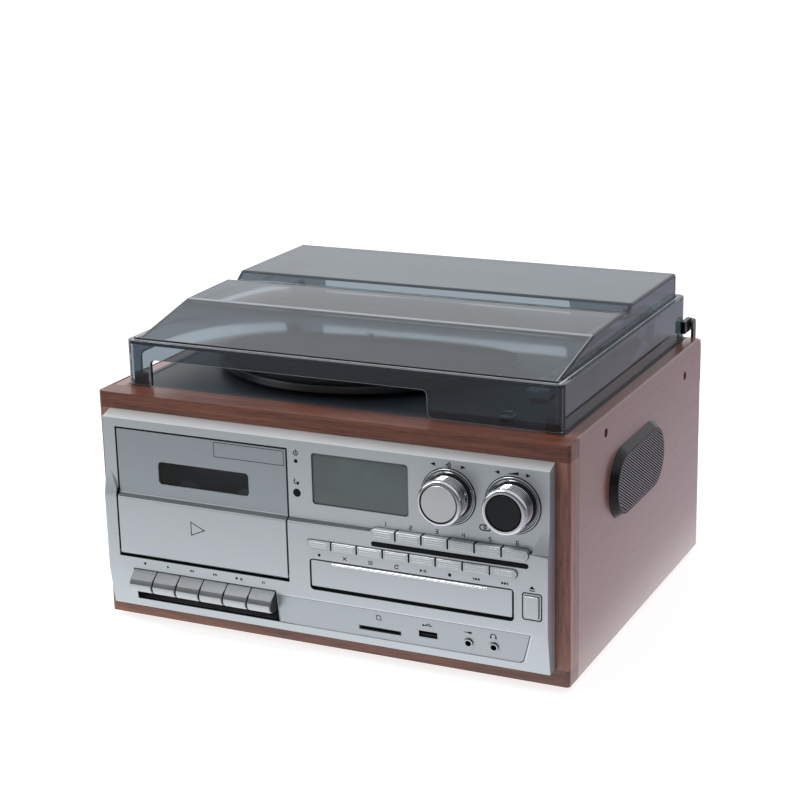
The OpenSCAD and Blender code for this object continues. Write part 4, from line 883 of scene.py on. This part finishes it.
class MUSIC_OT_front_panel(PieceOperator, bpy.types.Operator):
    """Builds the silver front panel with painted shade in its hollows, its painted highlight and shade lines, and its
    printed marks
    """

    bl_idname = "music.front_panel"
    bl_label = "Front panel"

    def build(self, context):
        def hollow(c, n):
            """Painted shade and highlight: black behind the front face of the panel, silver on it and on its rim, dark
            paint on the ledge, a darker copy on the chin's field and a lighter copy on the top bevel.
            """
            # painted highlight on the top bevel
            if c.z > self.head - 6.0 and n.z > 0.3 and n.y < -0.2:
                return 4
            if not (abs(c.x) < self.rim - 2.2 and 12.8 < c.z < 135.5):
                return 0
            front = UPPER_Y if c.z > LEDGE_Z + 0.3 else LOWER_Y
            if c.z < RIDGE_Z:
                front = LOWER_Y + (RIDGE_Z - c.z) * math.tan(CHIN_TILT)
            if c.z < RIDGE_Z and n.y < -0.8 and 0.3 < c.y - front < 0.8:
                return 3
            if in_ledge_shade(c, n):
                return 2
            on_step = LEDGE_Z - 2.6 < c.z < LEDGE_Z + 0.3 and n.z > 0.15
            deep = 1.4 if n.y < -0.5 else 0.42
            return int(c.y - front > deep and not on_step)

        self.rim, _, self.head = span("fascia")[1]
        slot = rounded(*self.opening(span("disc_tray"), 1.2, 2.6, 0.9), 2.4, 6)
        bm = carve(solid_of("fascia"), [prism(slot, LOWER_Y - 1.0, LOWER_Y + 2.5)])
        soften_ledge(bm)
        ease(bm, 0.3, 2)
        paint_by(bm, hollow)
        names = ("silver paint", "black plastic", "ledge paint", "chin paint", "bright paint")
        finishes = [finish(one) for one in names]
        piece("front_panel_shell", bm, finishes, "cabinet", ["fascia"])
        self.marks_and_painted_lines()

    @staticmethod
    def opening(box, side, foot, top):
        """Middle and size of an opening with gaps beside, under and over what moves in it."""
        (x0, _, z0), (x1, _, z1) = box
        if x1 - x0 > 100.0:
            z0, z1 = TRAY_Z - TRAY_H / 2, TRAY_Z + TRAY_H / 2
        return ((x0 + x1) / 2, (z0 - foot + z1 + top) / 2, x1 - x0 + 2 * side, z1 - z0 + foot + top)

    def marks_and_painted_lines(self):
        upper, lower = front_place(UPPER_Y), front_place(LOWER_Y)
        x = SIGNAL_X
        power = stroke(arc(x, 126.8, 1.35, 125, 415, 20), 0.42) + stroke([(x, 126.6), (x, 128.9)], 0.42)
        remote = stroke(arc(x - 0.6, 108.6, 1.1, 100, 280, 10), 0.4) + [box_shape(x + 0.8, 107.9, 1.5, 1.9), box_shape(x - 1.4, 110.3, 0.5, 0.9)]
        shapes = power + remote
        for centre in (TUNING_X, VOLUME_X):
            shapes += [arrow(centre - 9.6, 131.0, 3.0, 2.3, -1), arrow(centre + 9.6, 131.0, 3.0, 2.3, 1)]
        # a tuning fork of waves, and a rising wedge for the volume
        shapes += [s_ for r in (1.0, 1.9, 2.8) for s_ in stroke(arc(TUNING_X - 1.2, 131.3, r, -45, 45, 8), 0.4)]
        shapes += [disc(TUNING_X - 1.2, 131.3, 0.45, 12)]
        shapes += [[(VOLUME_X - 3.6, 130.6), (VOLUME_X + 3.6, 130.6), (VOLUME_X + 3.6, 132.4)]]
        shapes += stroke(rounded(109.4, 96.2, 6.6, 3.2, 1.5, 5), 0.55, True)
        (x0, _, z0), (x1, _, z1) = span("display_window")
        # painted shade: a dark line round the display
        display_shade = stroke(rounded((x0 + x1) / 2, (z0 + z1) / 2, x1 - x0 + 0.3, z1 - z0 + 0.3, 2.1, 6), 0.36, True)
        marks("display_gap", display_shade, upper, "dark steel", lift=0.03)
        shapes += stroke(arc(109.4, 96.2, 0.75, 0, 360, 14), 0.4)
        for i in range(6):
            shapes += digit(i + 1, FUNCTION_X + (i + 0.5) * FUNCTION_PITCH, 89.6, 2.3, 0.36)
        marks("upper_marks", shapes, upper, "ink")

        bar = rounded(FUNCTION_X + 3 * FUNCTION_PITCH, 77.4, 6 * FUNCTION_PITCH - 1.0, 3.2, 1.6, 8)
        marks("select_strip", [bar], lower, "ink", lift=0.08)
        z = 65.0
        at_button = [TRANSPORT_X + (i + 0.5) * TRANSPORT_PITCH for i in range(8)]
        shapes = [disc(at_button[0], z, 0.95, 20)]
        shapes += stroke([(at_button[1] - 1.0, z + 0.9), (at_button[1] + 1.0, z - 0.9)], 0.4)
        shapes += stroke([(at_button[1] - 1.0, z - 0.9), (at_button[1] + 1.0, z + 0.9)], 0.4)
        for k in (-0.9, 0.0, 0.9):
            shapes.append(box_shape(at_button[2], z + k, 3.0, 0.4))
        shapes += stroke(arc(at_button[3], z, 1.15, 40, 320, 18), 0.4) + [arrow(at_button[3] + 1.1, z + 0.8, 1.2, 1.2)]
        shapes += [arrow(at_button[4] - 1.0, z, 1.9, 2.1), box_shape(at_button[4] + 0.8, z, 0.5, 2.0), box_shape(at_button[4] + 1.8, z, 0.5, 2.0)]
        shapes += [box_shape(at_button[5], z, 1.9, 1.9)]
        for k, to in ((6, -1), (7, 1)):
            c = at_button[k]
            shapes += [arrow(c - 0.9, z, 1.7, 2.0, to), arrow(c + 0.9, z, 1.7, 2.0, to), box_shape(c + to * 2.1, z, 0.45, 2.0)]
        shapes += [arrow_up(EJECT_X, 64.9, 3.4, 2.1), box_shape(EJECT_X, 62.9, 3.4, 0.6)]
        shapes += self.key_marks()
        marks("lower_marks", shapes, lower, "ink")

        # painted shade: a dark ring round the eject button
        (x0, _, z0), (x1, _, z1) = span("eject_button")
        ring = rounded((x0 + x1) / 2, (z0 + z1) / 2, x1 - x0 + 0.9, z1 - z0 + 0.9, 1.6, 6)
        # the ledge's painted highlight line, from the door to the first function button
        left, right = span("tape_door")[1][0] + 1.0, span("function_button_1")[0][0] - 0.5
        line = box_shape((left + right) / 2, LEDGE_Z + 1.3, right - left, 0.6)
        marks("ledge_line", [line], upper, "bright paint", lift=0.03)
        marks("eject_gap", stroke(ring, 0.62, True), lower, "black plastic", lift=0.03)
        self.chin_lines()

        drop = -6.2
        shapes = stroke(arc(PHONES_X, drop, 1.7, 0, 180, 16), 0.42)
        shapes += [box_shape(PHONES_X - 1.6, drop - 0.7, 0.9, 1.7), box_shape(PHONES_X + 1.6, drop - 0.7, 0.9, 1.7)]
        # a plug for the line input, a branching line for the stick's socket, and a card
        shapes += stroke([(AUX_X - 2.2, drop), (AUX_X + 0.4, drop)], 0.4) + [box_shape(AUX_X + 1.4, drop, 2.2, 1.3)]
        shapes += stroke([(STICK_X - 2.6, drop), (STICK_X + 2.2, drop)], 0.4) + [arrow(STICK_X + 2.6, drop, 1.2, 1.3), disc(STICK_X - 2.6, drop, 0.7, 14)]
        shapes += stroke([(STICK_X - 1.2, drop), (STICK_X, drop + 1.1), (STICK_X + 1.2, drop + 1.1)], 0.35) + [box_shape(STICK_X + 1.3, drop + 1.1, 0.8, 0.8)]
        shapes += stroke([(CARD_X - 1.4, drop - 1.5), (CARD_X - 1.4, drop + 1.5), (CARD_X + 0.6, drop + 1.5), (CARD_X + 1.4, drop + 0.7), (CARD_X + 1.4, drop - 1.5)], 0.36, True)
        marks("chin_marks", shapes, chin_place, "ink")

    @staticmethod
    def chin_lines():
        """The edge of the shallow field on the chin, drawn as a painted highlight line outside it and a painted shade
        line inside.
        """
        left, right = span("tape_door")[1][0] - 8.3, span("fascia")[1][0]
        bright = stroke([(left, -0.4), (right - 10.0, -0.4)], 0.5)
        bright += stroke([(right - 9.8, -0.6), (right - 15.1, -19.4)], 0.5)
        marks("chin_bright_line", bright, chin_place, "bright paint", lift=0.54, sink=-0.4)
        dark = stroke([(left, -1.3), (right - 11.0, -1.3), (right - 16.2, -19.3), (right - 18.1, -20.6)], 0.4)
        marks("chin_dark_line", dark, chin_place, "ledge paint", lift=0.04)

    def key_marks(self):
        """The usual signs above the six piano keys."""
        z = 41.3
        c = [KEYS_X + (i - 2.5) * KEY_PITCH for i in range(6)]
        shapes = [disc(c[0], z, 0.85, 18), arrow(c[1], z, 1.7, 1.8)]
        for k, to in ((2, -1), (3, 1)):
            shapes += [arrow(c[k] - 0.8, z, 1.5, 1.7, to), arrow(c[k] + 0.8, z, 1.5, 1.7, to)]
        shapes += [box_shape(c[4] - 1.8, z, 1.5, 1.5), arrow_up(c[4] + 1.5, z + 0.3, 2.1, 1.2), box_shape(c[4] + 1.5, z - 0.75, 2.1, 0.4)]
        shapes += [box_shape(c[5] - 0.55, z, 0.5, 1.7), box_shape(c[5] + 0.55, z, 0.5, 1.7)]
        return shapes


class MUSIC_OT_cassette_deck(PieceOperator, bpy.types.Operator):
    """Builds the cassette door, its window and the six keys"""

    bl_idname = "music.cassette_deck"
    bl_label = "Cassette deck"

    def build(self, context):
        bm = solid_of("tape_door")
        soften_ledge(bm)
        ease(bm, 0.3, 2)
        paint_by(bm, self.door_colour)
        finishes = [finish(one) for one in ("silver paint", "black plastic", "ledge paint", "door paint")]
        piece("tape_door_panel", bm, finishes, "cassette_door", ["tape_door"])
        eased("tape_window", "tape_window_pane", ["dark window"], 0.3)
        lower = front_place(LOWER_Y)
        triangle = [(DOOR_MARK_X - 4.8, 73.8), (DOOR_MARK_X + 4.7, 69.5), (DOOR_MARK_X - 4.8, 65.3)]
        marks("door_triangle", stroke(triangle, 0.42, True), lower, "ink", body="cassette_door")
        label = box_shape(-45.2, 122.3, 48.3, 9.2)
        (x0, _, _), (x1, _, _) = span("tape_door")
        # a painted highlight line along the door's ledge
        line = box_shape((x0 + x1) / 2, LEDGE_Z + 1.3, x1 - x0 - 4.0, 0.8)
        marks("door_ledge_line", [line], front_place(UPPER_Y), "bright paint", body="cassette_door", lift=0.04)
        marks("door_label", stroke(label, 0.28, True), front_place(UPPER_Y), "ink", body="cassette_door", lift=0.04)
        for key in ("record", "play", "rewind", "forward", "stop", "pause"):
            eased(
                key + "_key",
                key + "_key_cap",
                ["key top", "key ridge", "key front", "black plastic"],
                0.9,
                steps=3,
                sharper=20.0,
                where=lambda e: e.verts[0].co.y < FRONT + LOWER_Y * MM and e.verts[1].co.y < FRONT + LOWER_Y * MM,
                pick=self.key_colour,
            )
        for node, name in (
            ("supply_reel", "white plastic"),
            ("take_up_reel", "white plastic"),
            ("tape_mechanism", "steel"),
        ):
            dress(node, name)


    @staticmethod
    def key_colour(c, n):
        """Black behind; painted shade: a darker paint on the sloping top and the ends and a dark paint on the ridge;
        painted highlight: a lighter paint on the front.
        """
        if c.y > -6.0:
            return 3
        if n.z > 0.7 or abs(n.x) > 0.6:
            return 0
        return 1 if n.z > 0.4 else 2

    @staticmethod
    def door_colour(c, n):
        """Painted shade: black behind the face, dark paint on the ledge's top and curve, and a darker copy of the
        silver paint above the ledge.
        """
        if c.y > -5.0:
            return 1
        if in_ledge_shade(c, n):
            return 2
        return 3 if c.z > LEDGE_Z + 0.5 else 0


class MUSIC_OT_controls(PieceOperator, bpy.types.Operator):
    """Builds the display, the knobs, the buttons, the disc tray and the sockets"""

    bl_idname = "music.controls"
    bl_label = "Controls"

    def build(self, context):
        eased("display_window", "display_glass", ["liquid crystal"], 0.25)
        eased("circuit_boards", "boards", ["board green", "ink", "steel"], 0.1, pick=self.board_colour)
        for x, node, body in ((TUNING_X, "tuning_knob", "tuning"), (VOLUME_X, "volume_knob", "volume")):
            self.knob(node, body, x)
        self.rings()
        for row, count, x0, pitch, z in (
            ("function", 6, FUNCTION_X, FUNCTION_PITCH, 84.1),
            ("transport", 8, TRANSPORT_X, TRANSPORT_PITCH, 71.8),
        ):
            for i in range(count):
                node = "%s_button_%d" % (row, i + 1)
                eased(
                    node,
                    node + "_cap",
                    ["bright paint", "black plastic", "button hollow"],
                    0.4,
                    steps=3,
                    pick=self.button_colour(x0 + (i + 0.5) * pitch, i > 0, i < count - 1),
                )
                self.ribs(node, x0 + (i + 0.5) * pitch, z, pitch - 4.2, i in (0, count - 1))
        # painted highlight: a lighter paint on the eject button's sides
        eased("eject_button", "eject_button_cap", ["silver paint", "bright paint"], 0.9, steps=3, pick=lambda c, n: int(n.y > -0.97))
        eased(
            "disc_tray",
            "disc_tray_drawer",
            ["silver paint", "black plastic"],
            0.35,
            pick=lambda c, n: 1 if c.y > -8.4 else 0,
        )
        self.tray_lip()
        eased("disc_loader", "disc_loader_frame", ["black plastic"], 0.3)
        eased(
            "port_sockets",
            "port_shells",
            ["black plastic", "chrome"],
            0.12,
            pick=lambda c, n: 1 if c.x > 60.0 and n.y < -0.7 and c.y < -9.0 else 0,
        )
        eased(
            "jack_sockets",
            "jack_rims",
            ["ring metal", "black plastic"],
            0.25,
            pick=lambda c, n: 1 if c.y > -8.5 or abs(n.y) < 0.6 and self.from_jack(c) < 2.0 else 0,
        )

    @staticmethod
    def button_colour(x, open_left, open_right):
        """Painted shade: black on the sides that face another button and a darker copy on the front; a lighter copy, a
        painted highlight, elsewhere.
        """

        def pick(c, n):
            if n.x < -0.3 and open_left and c.x < x or n.x > 0.3 and open_right and c.x > x:
                return 1
            return 2 if n.y < -0.98 else 0

        return pick

    @staticmethod
    def from_jack(c):
        """Distance from the nearer jack's middle, measured across the front."""
        z = (span("jack_sockets")[0][2] + span("jack_sockets")[1][2]) / 2
        return min(math.hypot(c.x - x, (c.z - z) * 0.6) for x in (AUX_X, PHONES_X))

    @staticmethod
    def board_colour(c, n):
        if abs(c.x - SIGNAL_X) < 3.0 and c.y < -3.2:
            return 1
        return 2 if c.y < -3.2 or c.z > 18.0 and c.y > 100.0 else 0

    def knob(self, node, body, x):
        """A stack of fine rings, a rounded rim and a face, with painted shade in the grooves."""
        z, r = KNOB_Z, settings("controls").knob / MM
        back, front = -10.35, -24.2
        flange_r = settings("controls").flange / MM
        face_r = flange_r - (2.9 if body == "volume" else 2.2)
        profile = [(3.0, back), (r - 0.7, back), (r - 0.2, back - 0.3)]
        y = back - 0.6
        for i in range(5):
            profile += [(r - 0.2, y), (r, y - 0.25), (r, y - 0.85), (r - 0.2, y - 1.05), (r - 0.8, y - 1.1), (r - 0.8, y - 1.7)]
            y -= 1.8
        rim = front + 3.7
        profile += [(r - 0.8, rim + 0.1), (flange_r - 0.8, rim), (flange_r - 0.2, rim - 0.4), (flange_r, rim - 1.1)]
        for k in range(9):
            a = math.radians(90.0 * k / 8)
            profile.append((flange_r - 2.0 + 2.0 * math.cos(a), front + 2.4 - 2.4 * math.sin(a)))
        profile += [(face_r + 0.05, front + 0.02), (face_r, front + 1.1), (face_r - 0.4, front + 1.2)]
        bm = bmesh.new()
        turned(bm, profile, x, z, 128, (True, True))
        # painted shade: gloss black in the grooves and in the seam round the face
        paint_by(bm, lambda c, n: int(self.in_groove_shade(math.hypot(c.x - x, c.z - z), c.y, r, rim, face_r, front)))
        piece(body + "_knob_body", bm, [finish("chrome"), finish("gloss black")], body, [node], sharp=35.0)
        bm = bmesh.new()
        dip = 0.35 if body == "volume" else 0.15
        edge = face_r - 0.65
        profile = [(edge, front + 1.15), (edge, front + dip + 0.35), (edge - 0.35, front + dip), (edge * 0.5, front + dip + 0.02)]
        turned(bm, profile + [(0.4, front + dip + 0.04)], x, z, 96, (True, True))
        piece(body + "_knob_face", bm, finish("gloss black" if body == "volume" else "knob face"), body, sharp=35.0)

    @staticmethod
    def in_groove_shade(off, y, r, rim, face_r, front):
        """True in the grooves round a knob and in the seam round its face, where gloss black stands in for shade."""
        return off < r - 0.45 and y > rim - 0.1 or off < face_r + 0.03 and y > front + 0.1

    def tray_lip(self):
        """The long bright lip under the upper edge of the disc tray's front."""
        (x0, y0, _), (x1, _, _) = span("disc_tray")
        top = TRAY_Z + TRAY_H / 2 - 0.5
        profile = [(0.1, 0.0), (-0.35, -0.1), (-0.62, -0.55), (-0.62, -1.0), (-0.35, -1.35), (0.1, -1.5)]
        left, right = x0 + 0.11 * (x1 - x0), x0 + 0.88 * (x1 - x0)
        bm = bmesh.new()
        rings = []
        for x, size in ((left - 0.6, 0.2), (left, 1.0), (right, 1.0), (right + 0.6, 0.2)):
            rings.append([at(x, y0 + 0.1 + (dy - 0.1) * size, top - 0.75 + (dz + 0.75) * size) for dy, dz in profile])
        loft(bm, rings, (True, True))
        piece("disc_tray_lip", bm, finish("bright trim"), body_of("disc_tray"), sharp=60.0)

    def rings(self):
        """The dished ring around each knob, and black rings of painted shade behind each knob, in its dish and round
        the dish's rim.
        """
        rim = settings("controls").ring / MM
        bm = bmesh.new()
        for x in (TUNING_X, VOLUME_X):
            profile = [(rim, -9.5), (rim, -10.1), (rim - 0.15, -10.5), (rim - 0.5, -10.68), (rim - 0.85, -10.6)]
            profile.append((rim - 1.05, -10.2))
            profile += [(15.7, -10.15), (15.4, -10.3), (14.6, -9.95), (14.1, -9.7), (13.9, -9.6), (13.8, -9.55), (3.7, -9.55), (3.7, -9.5)]
            turned(bm, profile, x, KNOB_Z, 128, (False, False))
        piece("knob_dishes", bm, finish("ring metal"), "cabinet", ["knob_rings"], sharp=50.0)
        bm = bmesh.new()
        # painted shade: black rings behind each knob, in its dish and round the dish's rim
        for x in (TUNING_X, VOLUME_X):
            turned(bm, [(14.0, -9.58), (14.0, -9.75), (13.4, -9.8), (4.0, -9.8), (4.0, -9.58)], x, KNOB_Z, 96, (False, False))
            shadow = [(rim + 0.6, -9.4), (rim + 0.5, -9.56), (rim - 0.1, -9.6), (rim - 0.2, -9.4)]
            turned(bm, shadow, x, KNOB_Z, 96, (False, False))
            turned(bm, [(16.08, -10.3), (15.9, -10.35), (15.7, -10.3), (15.68, -10.0)], x, KNOB_Z, 96, (False, False))
        piece("knob_wells", bm, finish("black plastic"), "cabinet", sharp=50.0)

    def ribs(self, node, x, z, width, end):
        """Three fine ridges across a button's front, in a lighter paint that stands in for their highlights."""
        bm = bmesh.new()
        y = span(node)[0][1]
        for k in (-1.35, 0.0, 1.35):
            w = width - (1.6 if end else 0.0)
            ring = [(-0.36, 0.05), (-0.22, -0.22), (0.22, -0.22), (0.36, 0.05)]
            loft(
                bm,
                [[at(x + side * w / 2, y + dy, z + k + dz) for dz, dy in ring] for side in (-1, 1)],
                (True, True),
            )
        parts = node.split("_")
        piece(node + "_ribs", bm, finish("bright paint"), "%s_%s" % (parts[0], parts[2]), sharp=60.0)


class MUSIC_OT_turntable(PieceOperator, bpy.types.Operator):
    """Builds the deck, the platter, the tonearm and what belongs to them"""

    bl_idname = "music.turntable"
    bl_label = "Turntable"

    def build(self, context):
        eased("deck_plate", "deck_board", ["deck plastic"], 0.4)
        eased("platter", "platter_rim", ["aluminium"], 0.3)
        self.mat()
        for node, name in (
            ("spindle", "chrome"),
            ("platter_motor", "steel"),
            ("arm_rest", "black plastic"),
            ("arm_pivot", "satin silver"),
            ("tonearm", "satin silver"),
            ("cartridge", "red plastic"),
            ("cue_lever", "chrome"),
            ("speed_switch", "chrome"),
        ):
            eased(node, node + "_finished", [name], 0.2)
        eased(
            "rear_sockets",
            "rear_socket_shells",
            ["black plastic", "chrome", "white plastic", "red plastic"],
            0.2,
            pick=self.socket_colour,
        )

    @staticmethod
    def socket_colour(c, n):
        if c.x < 0:
            return 0
        near = 0 if c.x < 112.0 else 1
        centre = 104.0 - 6.25 + 16.0 * near
        off = math.hypot(c.x - (97.75 + 16.0 * near), c.z - 34.0)
        return 1 if off < 4.25 else 2 + near

    def mat(self):
        """The rubber mat with its rings of fine grooves."""
        lo, hi = span("platter_mat")
        x, y = (lo[0] + hi[0]) / 2, (lo[1] + hi[1]) / 2
        foot, top, rim = lo[2], hi[2], (hi[0] - lo[0]) / 2
        profile = [(4.6, foot), (4.6, top - 0.6), (49.2, top - 0.6), (49.9, top - 0.45), (50.3, top)]
        r = 52.0
        while r < rim - 2.4:
            profile += [(r, top), (r + 0.25, top - 0.35), (r + 0.55, top - 0.35), (r + 0.8, top)]
            r += 2.6
        profile += [(rim - 0.5, top), (rim, top - 0.5), (rim, foot)]
        bm = bmesh.new()
        spun(bm, profile, x, y, 128)
        piece("mat_rings", bm, finish("rubber"), "turntable", ["platter_mat"], sharp=50.0)


class MUSIC_OT_lid(PieceOperator, bpy.types.Operator):
    """Builds the smoked lid, its lugs and its brackets"""

    bl_idname = "music.lid"
    bl_label = "Lid"

    def build(self, context):
        bm = solid_of("dust_cover")
        self.round_off(bm)
        # the smoke, a painted highlight for the rounded edges and a painted shade for some of them
        finishes = [finish("smoke"), finish("lit edge"), finish("dark edge")]
        piece("smoked_lid", bm, finishes, "lid", ["dust_cover"], sharp=50.0)
        self.ledge_lines("lid_dark_bead", "dark edge", 4.2, 5.4, 1.0)
        self.ledge_lines("lid_bright_bead", "bead", 2.7, 3.4, 0.2)
        eased("lid_hinges", "lid_lugs", ["gloss black"], 0.4)
        eased("hinge_brackets", "hinge_leaves", ["dark steel"], 0.25)

    @staticmethod
    def ledge_lines(name, finish_name, near, far, rise):
        """A fine raised line on the lid's ledge along its front, where it stands up by rise, and its sides, coloured as
        a painted highlight or a painted shade.
        """
        (x0, y0, _), (x1, y1, _) = span("dust_cover")
        low, high = LID_LEDGE_Z - 0.05, LID_LEDGE_Z + 0.12
        bm = bmesh.new()
        bar(bm, (x0 + near, y0 + near, low), (x1 - near, y0 + far, LID_LEDGE_Z + rise))
        bar(bm, (x0 + near, y0 + far + 0.01, low), (x0 + far, y1 - 6.0, high))
        bar(bm, (x1 - far, y0 + far + 0.01, low), (x1 - near, y1 - 6.0, high))
        piece(name, bm, finish(finish_name), "lid", sharp=20.0)

    @staticmethod
    def round_off(bm):
        """Rounds the lid's edges: broad at its corners, finer along the roof, the skirt and the cut-outs; some rounds
        get a painted highlight and some a painted shade.
        """
        (x0, y0, z0), (x1, y1, z1) = span("dust_cover")
        ledge = LID_LEDGE_Z

        def place(v):
            return Vector((v.co.x / MM, (v.co.y - FRONT) / MM, (v.co.z - UNDER) / MM))

        def chosen(test):
            found = []
            for e in bm.edges:
                a, b = place(e.verts[0]), place(e.verts[1])
                if len(e.link_faces) == 2 and test(a, b, (b - a).normalized() if (b - a).length > 1e-9 else Vector()):
                    found.append(e)
            return found

        def bevel(edges, width, steps, number=-1):
            if edges:
                bmesh.ops.bevel(
                    bm,
                    geom=edges,
                    offset=width * MM,
                    offset_type="OFFSET",
                    segments=steps,
                    profile=0.5,
                    affect="EDGES",
                    clamp_overlap=True,
                    material=number,
                )

        def skirt_corner(a, b, d):
            return abs(d.z) > 0.99 and abs(abs(a.x) - x1) < 0.1 and min(abs(a.y - y0), abs(a.y - y1)) < 0.1

        def inner_corner(a, b, d):
            return abs(d.z) > 0.99 and abs(abs(a.x) - x1 + 2.5) < 0.1 and min(abs(a.y - y0 - 2.5), abs(a.y - y1 + 2.5)) < 0.1

        def cutout_foot(a, b, d):
            return abs(d.y) > 0.99 and abs(a.z - z0) < 0.1 and abs(a.x - cut_end) < 0.1 and max(a.y, b.y) < y0 + 5.0

        def low_rim(a, b, d):
            on_front = max(a.y, b.y) < y0 + 0.1
            on_side = min(a.x, b.x) > x1 - 0.1 or max(a.x, b.x) < x0 + 0.1
            on_rear = min(a.y, b.y) > y1 - 0.1
            return (on_front or on_side or on_rear) and max(a.z, b.z) < ledge - 4.0 and not skirt_corner(a, b, d)

        def roof_edge(a, b, d):
            return min(a.z, b.z) > ledge - 0.1 and abs(abs(a.x) - x1 + 5.5) < 0.1 and abs(abs(b.x) - x1 + 5.5) < 0.1 and max(a.z, b.z) > ledge + 0.5

        def skirt_rim(a, b, d):
            on_rim = all(abs(p.z - ledge) < 0.1 for p in (a, b))
            outside = all(abs(abs(p.x) - x1) < 0.1 or abs(p.y - y0) < 0.1 or abs(p.y - y1) < 0.1 or abs(p.x) > x1 - 5.2 for p in (a, b))
            return on_rim and outside

        # the right end of the front cut-out stands upright, with a round foot
        ends = [v for v in bm.verts if abs(place(v).z - z0) < 0.1 and place(v).y < y0 + 5.0 and 0.0 < place(v).x < x1 - 6.0]
        cut_end = max(place(v).x for v in ends) - 5.2
        for v in ends:
            v.co.x = cut_end * MM
        bevel(chosen(cutout_foot), 4.0, 5)
        bevel(chosen(low_rim), 0.5, 2, 1)
        bevel(chosen(skirt_corner), settings("lid").corner / MM, 6)
        bevel(chosen(inner_corner), 3.0, 4)
        bevel(chosen(roof_edge), settings("lid").edge / MM, 3, 1)
        bevel(chosen(skirt_rim), 0.75, 3, 1)
        ease(bm, 0.45, 2, 30.0)
        # painted highlight and shade: the rounds keep the lit edge, some take the dark one, the rear roof keeps the
        # smoke
        for face in bm.faces:
            centre = face.calc_center_median()
            behind = (centre.y - FRONT) / MM > y0 + 68.5
            above = (centre.z - UNDER) / MM - ledge
            if face.material_index == 1 and behind and above > 2.0:
                face.material_index = 0
            elif face.material_index == 1 and above > 0.3 and abs(face.normal.x) > 0.6:
                face.material_index = 2
            elif face.material_index == 1 and -1.5 < above < 0.1 and face.normal.z < 0.6:
                face.material_index = 2


class MUSIC_OT_speakers(PieceOperator, bpy.types.Operator):
    """Builds the speakers' housings, grilles and drivers"""

    bl_idname = "music.speakers"
    bl_label = "Speakers"

    def build(self, context):
        eased("speaker_housings", "speaker_frames", ["gloss black"], 0.5, steps=3)
        self.grilles()
        dress("speaker_drivers", "cone fibre")


    def grilles(self):
        """The plates of sloping slats, bright on their faces and black in between; on the slats' sides the black is
        painted shade.
        """
        (_, y0, z0), (_, y1, z1) = span("speaker_grilles")
        bm = bmesh.new()
        bm.from_mesh(frame["nodes"]["speaker_grilles"].data)
        half = (y1 - y0 - (z1 - z0)) / 2
        reach = (z1 - z0) / 2 - GRILLE_RIM

        # painted shade: black on the slats' sides
        def colour(c, n):
            along = max(0.0, abs(c.y - (y0 + y1) / 2) - half)
            inside = math.hypot(along, c.z - (z0 + z1) / 2) < reach
            return 1 if inside and abs(n.x) > 0.9 and abs(c.x) > HALF_WIDTH + 4.0 else 0

        paint_by(bm, colour)
        piece(
            "grille_slats",
            bm,
            [finish("gloss black"), finish("grille metal")],
            "cabinet",
            ["speaker_grilles"],
        )


class MUSIC_PT_panel(bpy.types.Panel):
    """Lists the steps of the music centre"""

    bl_label = "Music Centre"
    bl_space_type = "VIEW_3D"
    bl_region_type = "UI"
    bl_category = "Music Centre"

    def draw(self, context):
        layout = self.layout
        for group in GROUPS:
            box = layout.box()
            for name in settings(group).__annotations__:
                box.prop(settings(group), name)
        for step in STEPS:
            layout.operator(step.bl_idname)


STEPS = (
    MUSIC_OT_stage,
    MUSIC_OT_cabinet,
    MUSIC_OT_front_panel,
    MUSIC_OT_cassette_deck,
    MUSIC_OT_controls,
    MUSIC_OT_turntable,
    MUSIC_OT_lid,
    MUSIC_OT_speakers,
)
GROUPS = {"stage": StageSettings, "finishes": FinishSettings, "controls": ControlSettings, "lid": LidSettings}


def register():
    for group, cls in GROUPS.items():
        bpy.utils.register_class(cls)
        setattr(bpy.types.Scene, "music_centre_" + group, bpy.props.PointerProperty(type=cls))
    for cls in STEPS + (MUSIC_PT_panel,):
        bpy.utils.register_class(cls)


def unregister():
    for cls in reversed(STEPS + (MUSIC_PT_panel,)):
        bpy.utils.unregister_class(cls)
    for group, cls in GROUPS.items():
        delattr(bpy.types.Scene, "music_centre_" + group)
        bpy.utils.unregister_class(cls)


def main():
    register()
    for step in STEPS:
        getattr(bpy.ops.music, step.bl_idname.split(".")[1])()


if __name__ == "__main__":
    main()
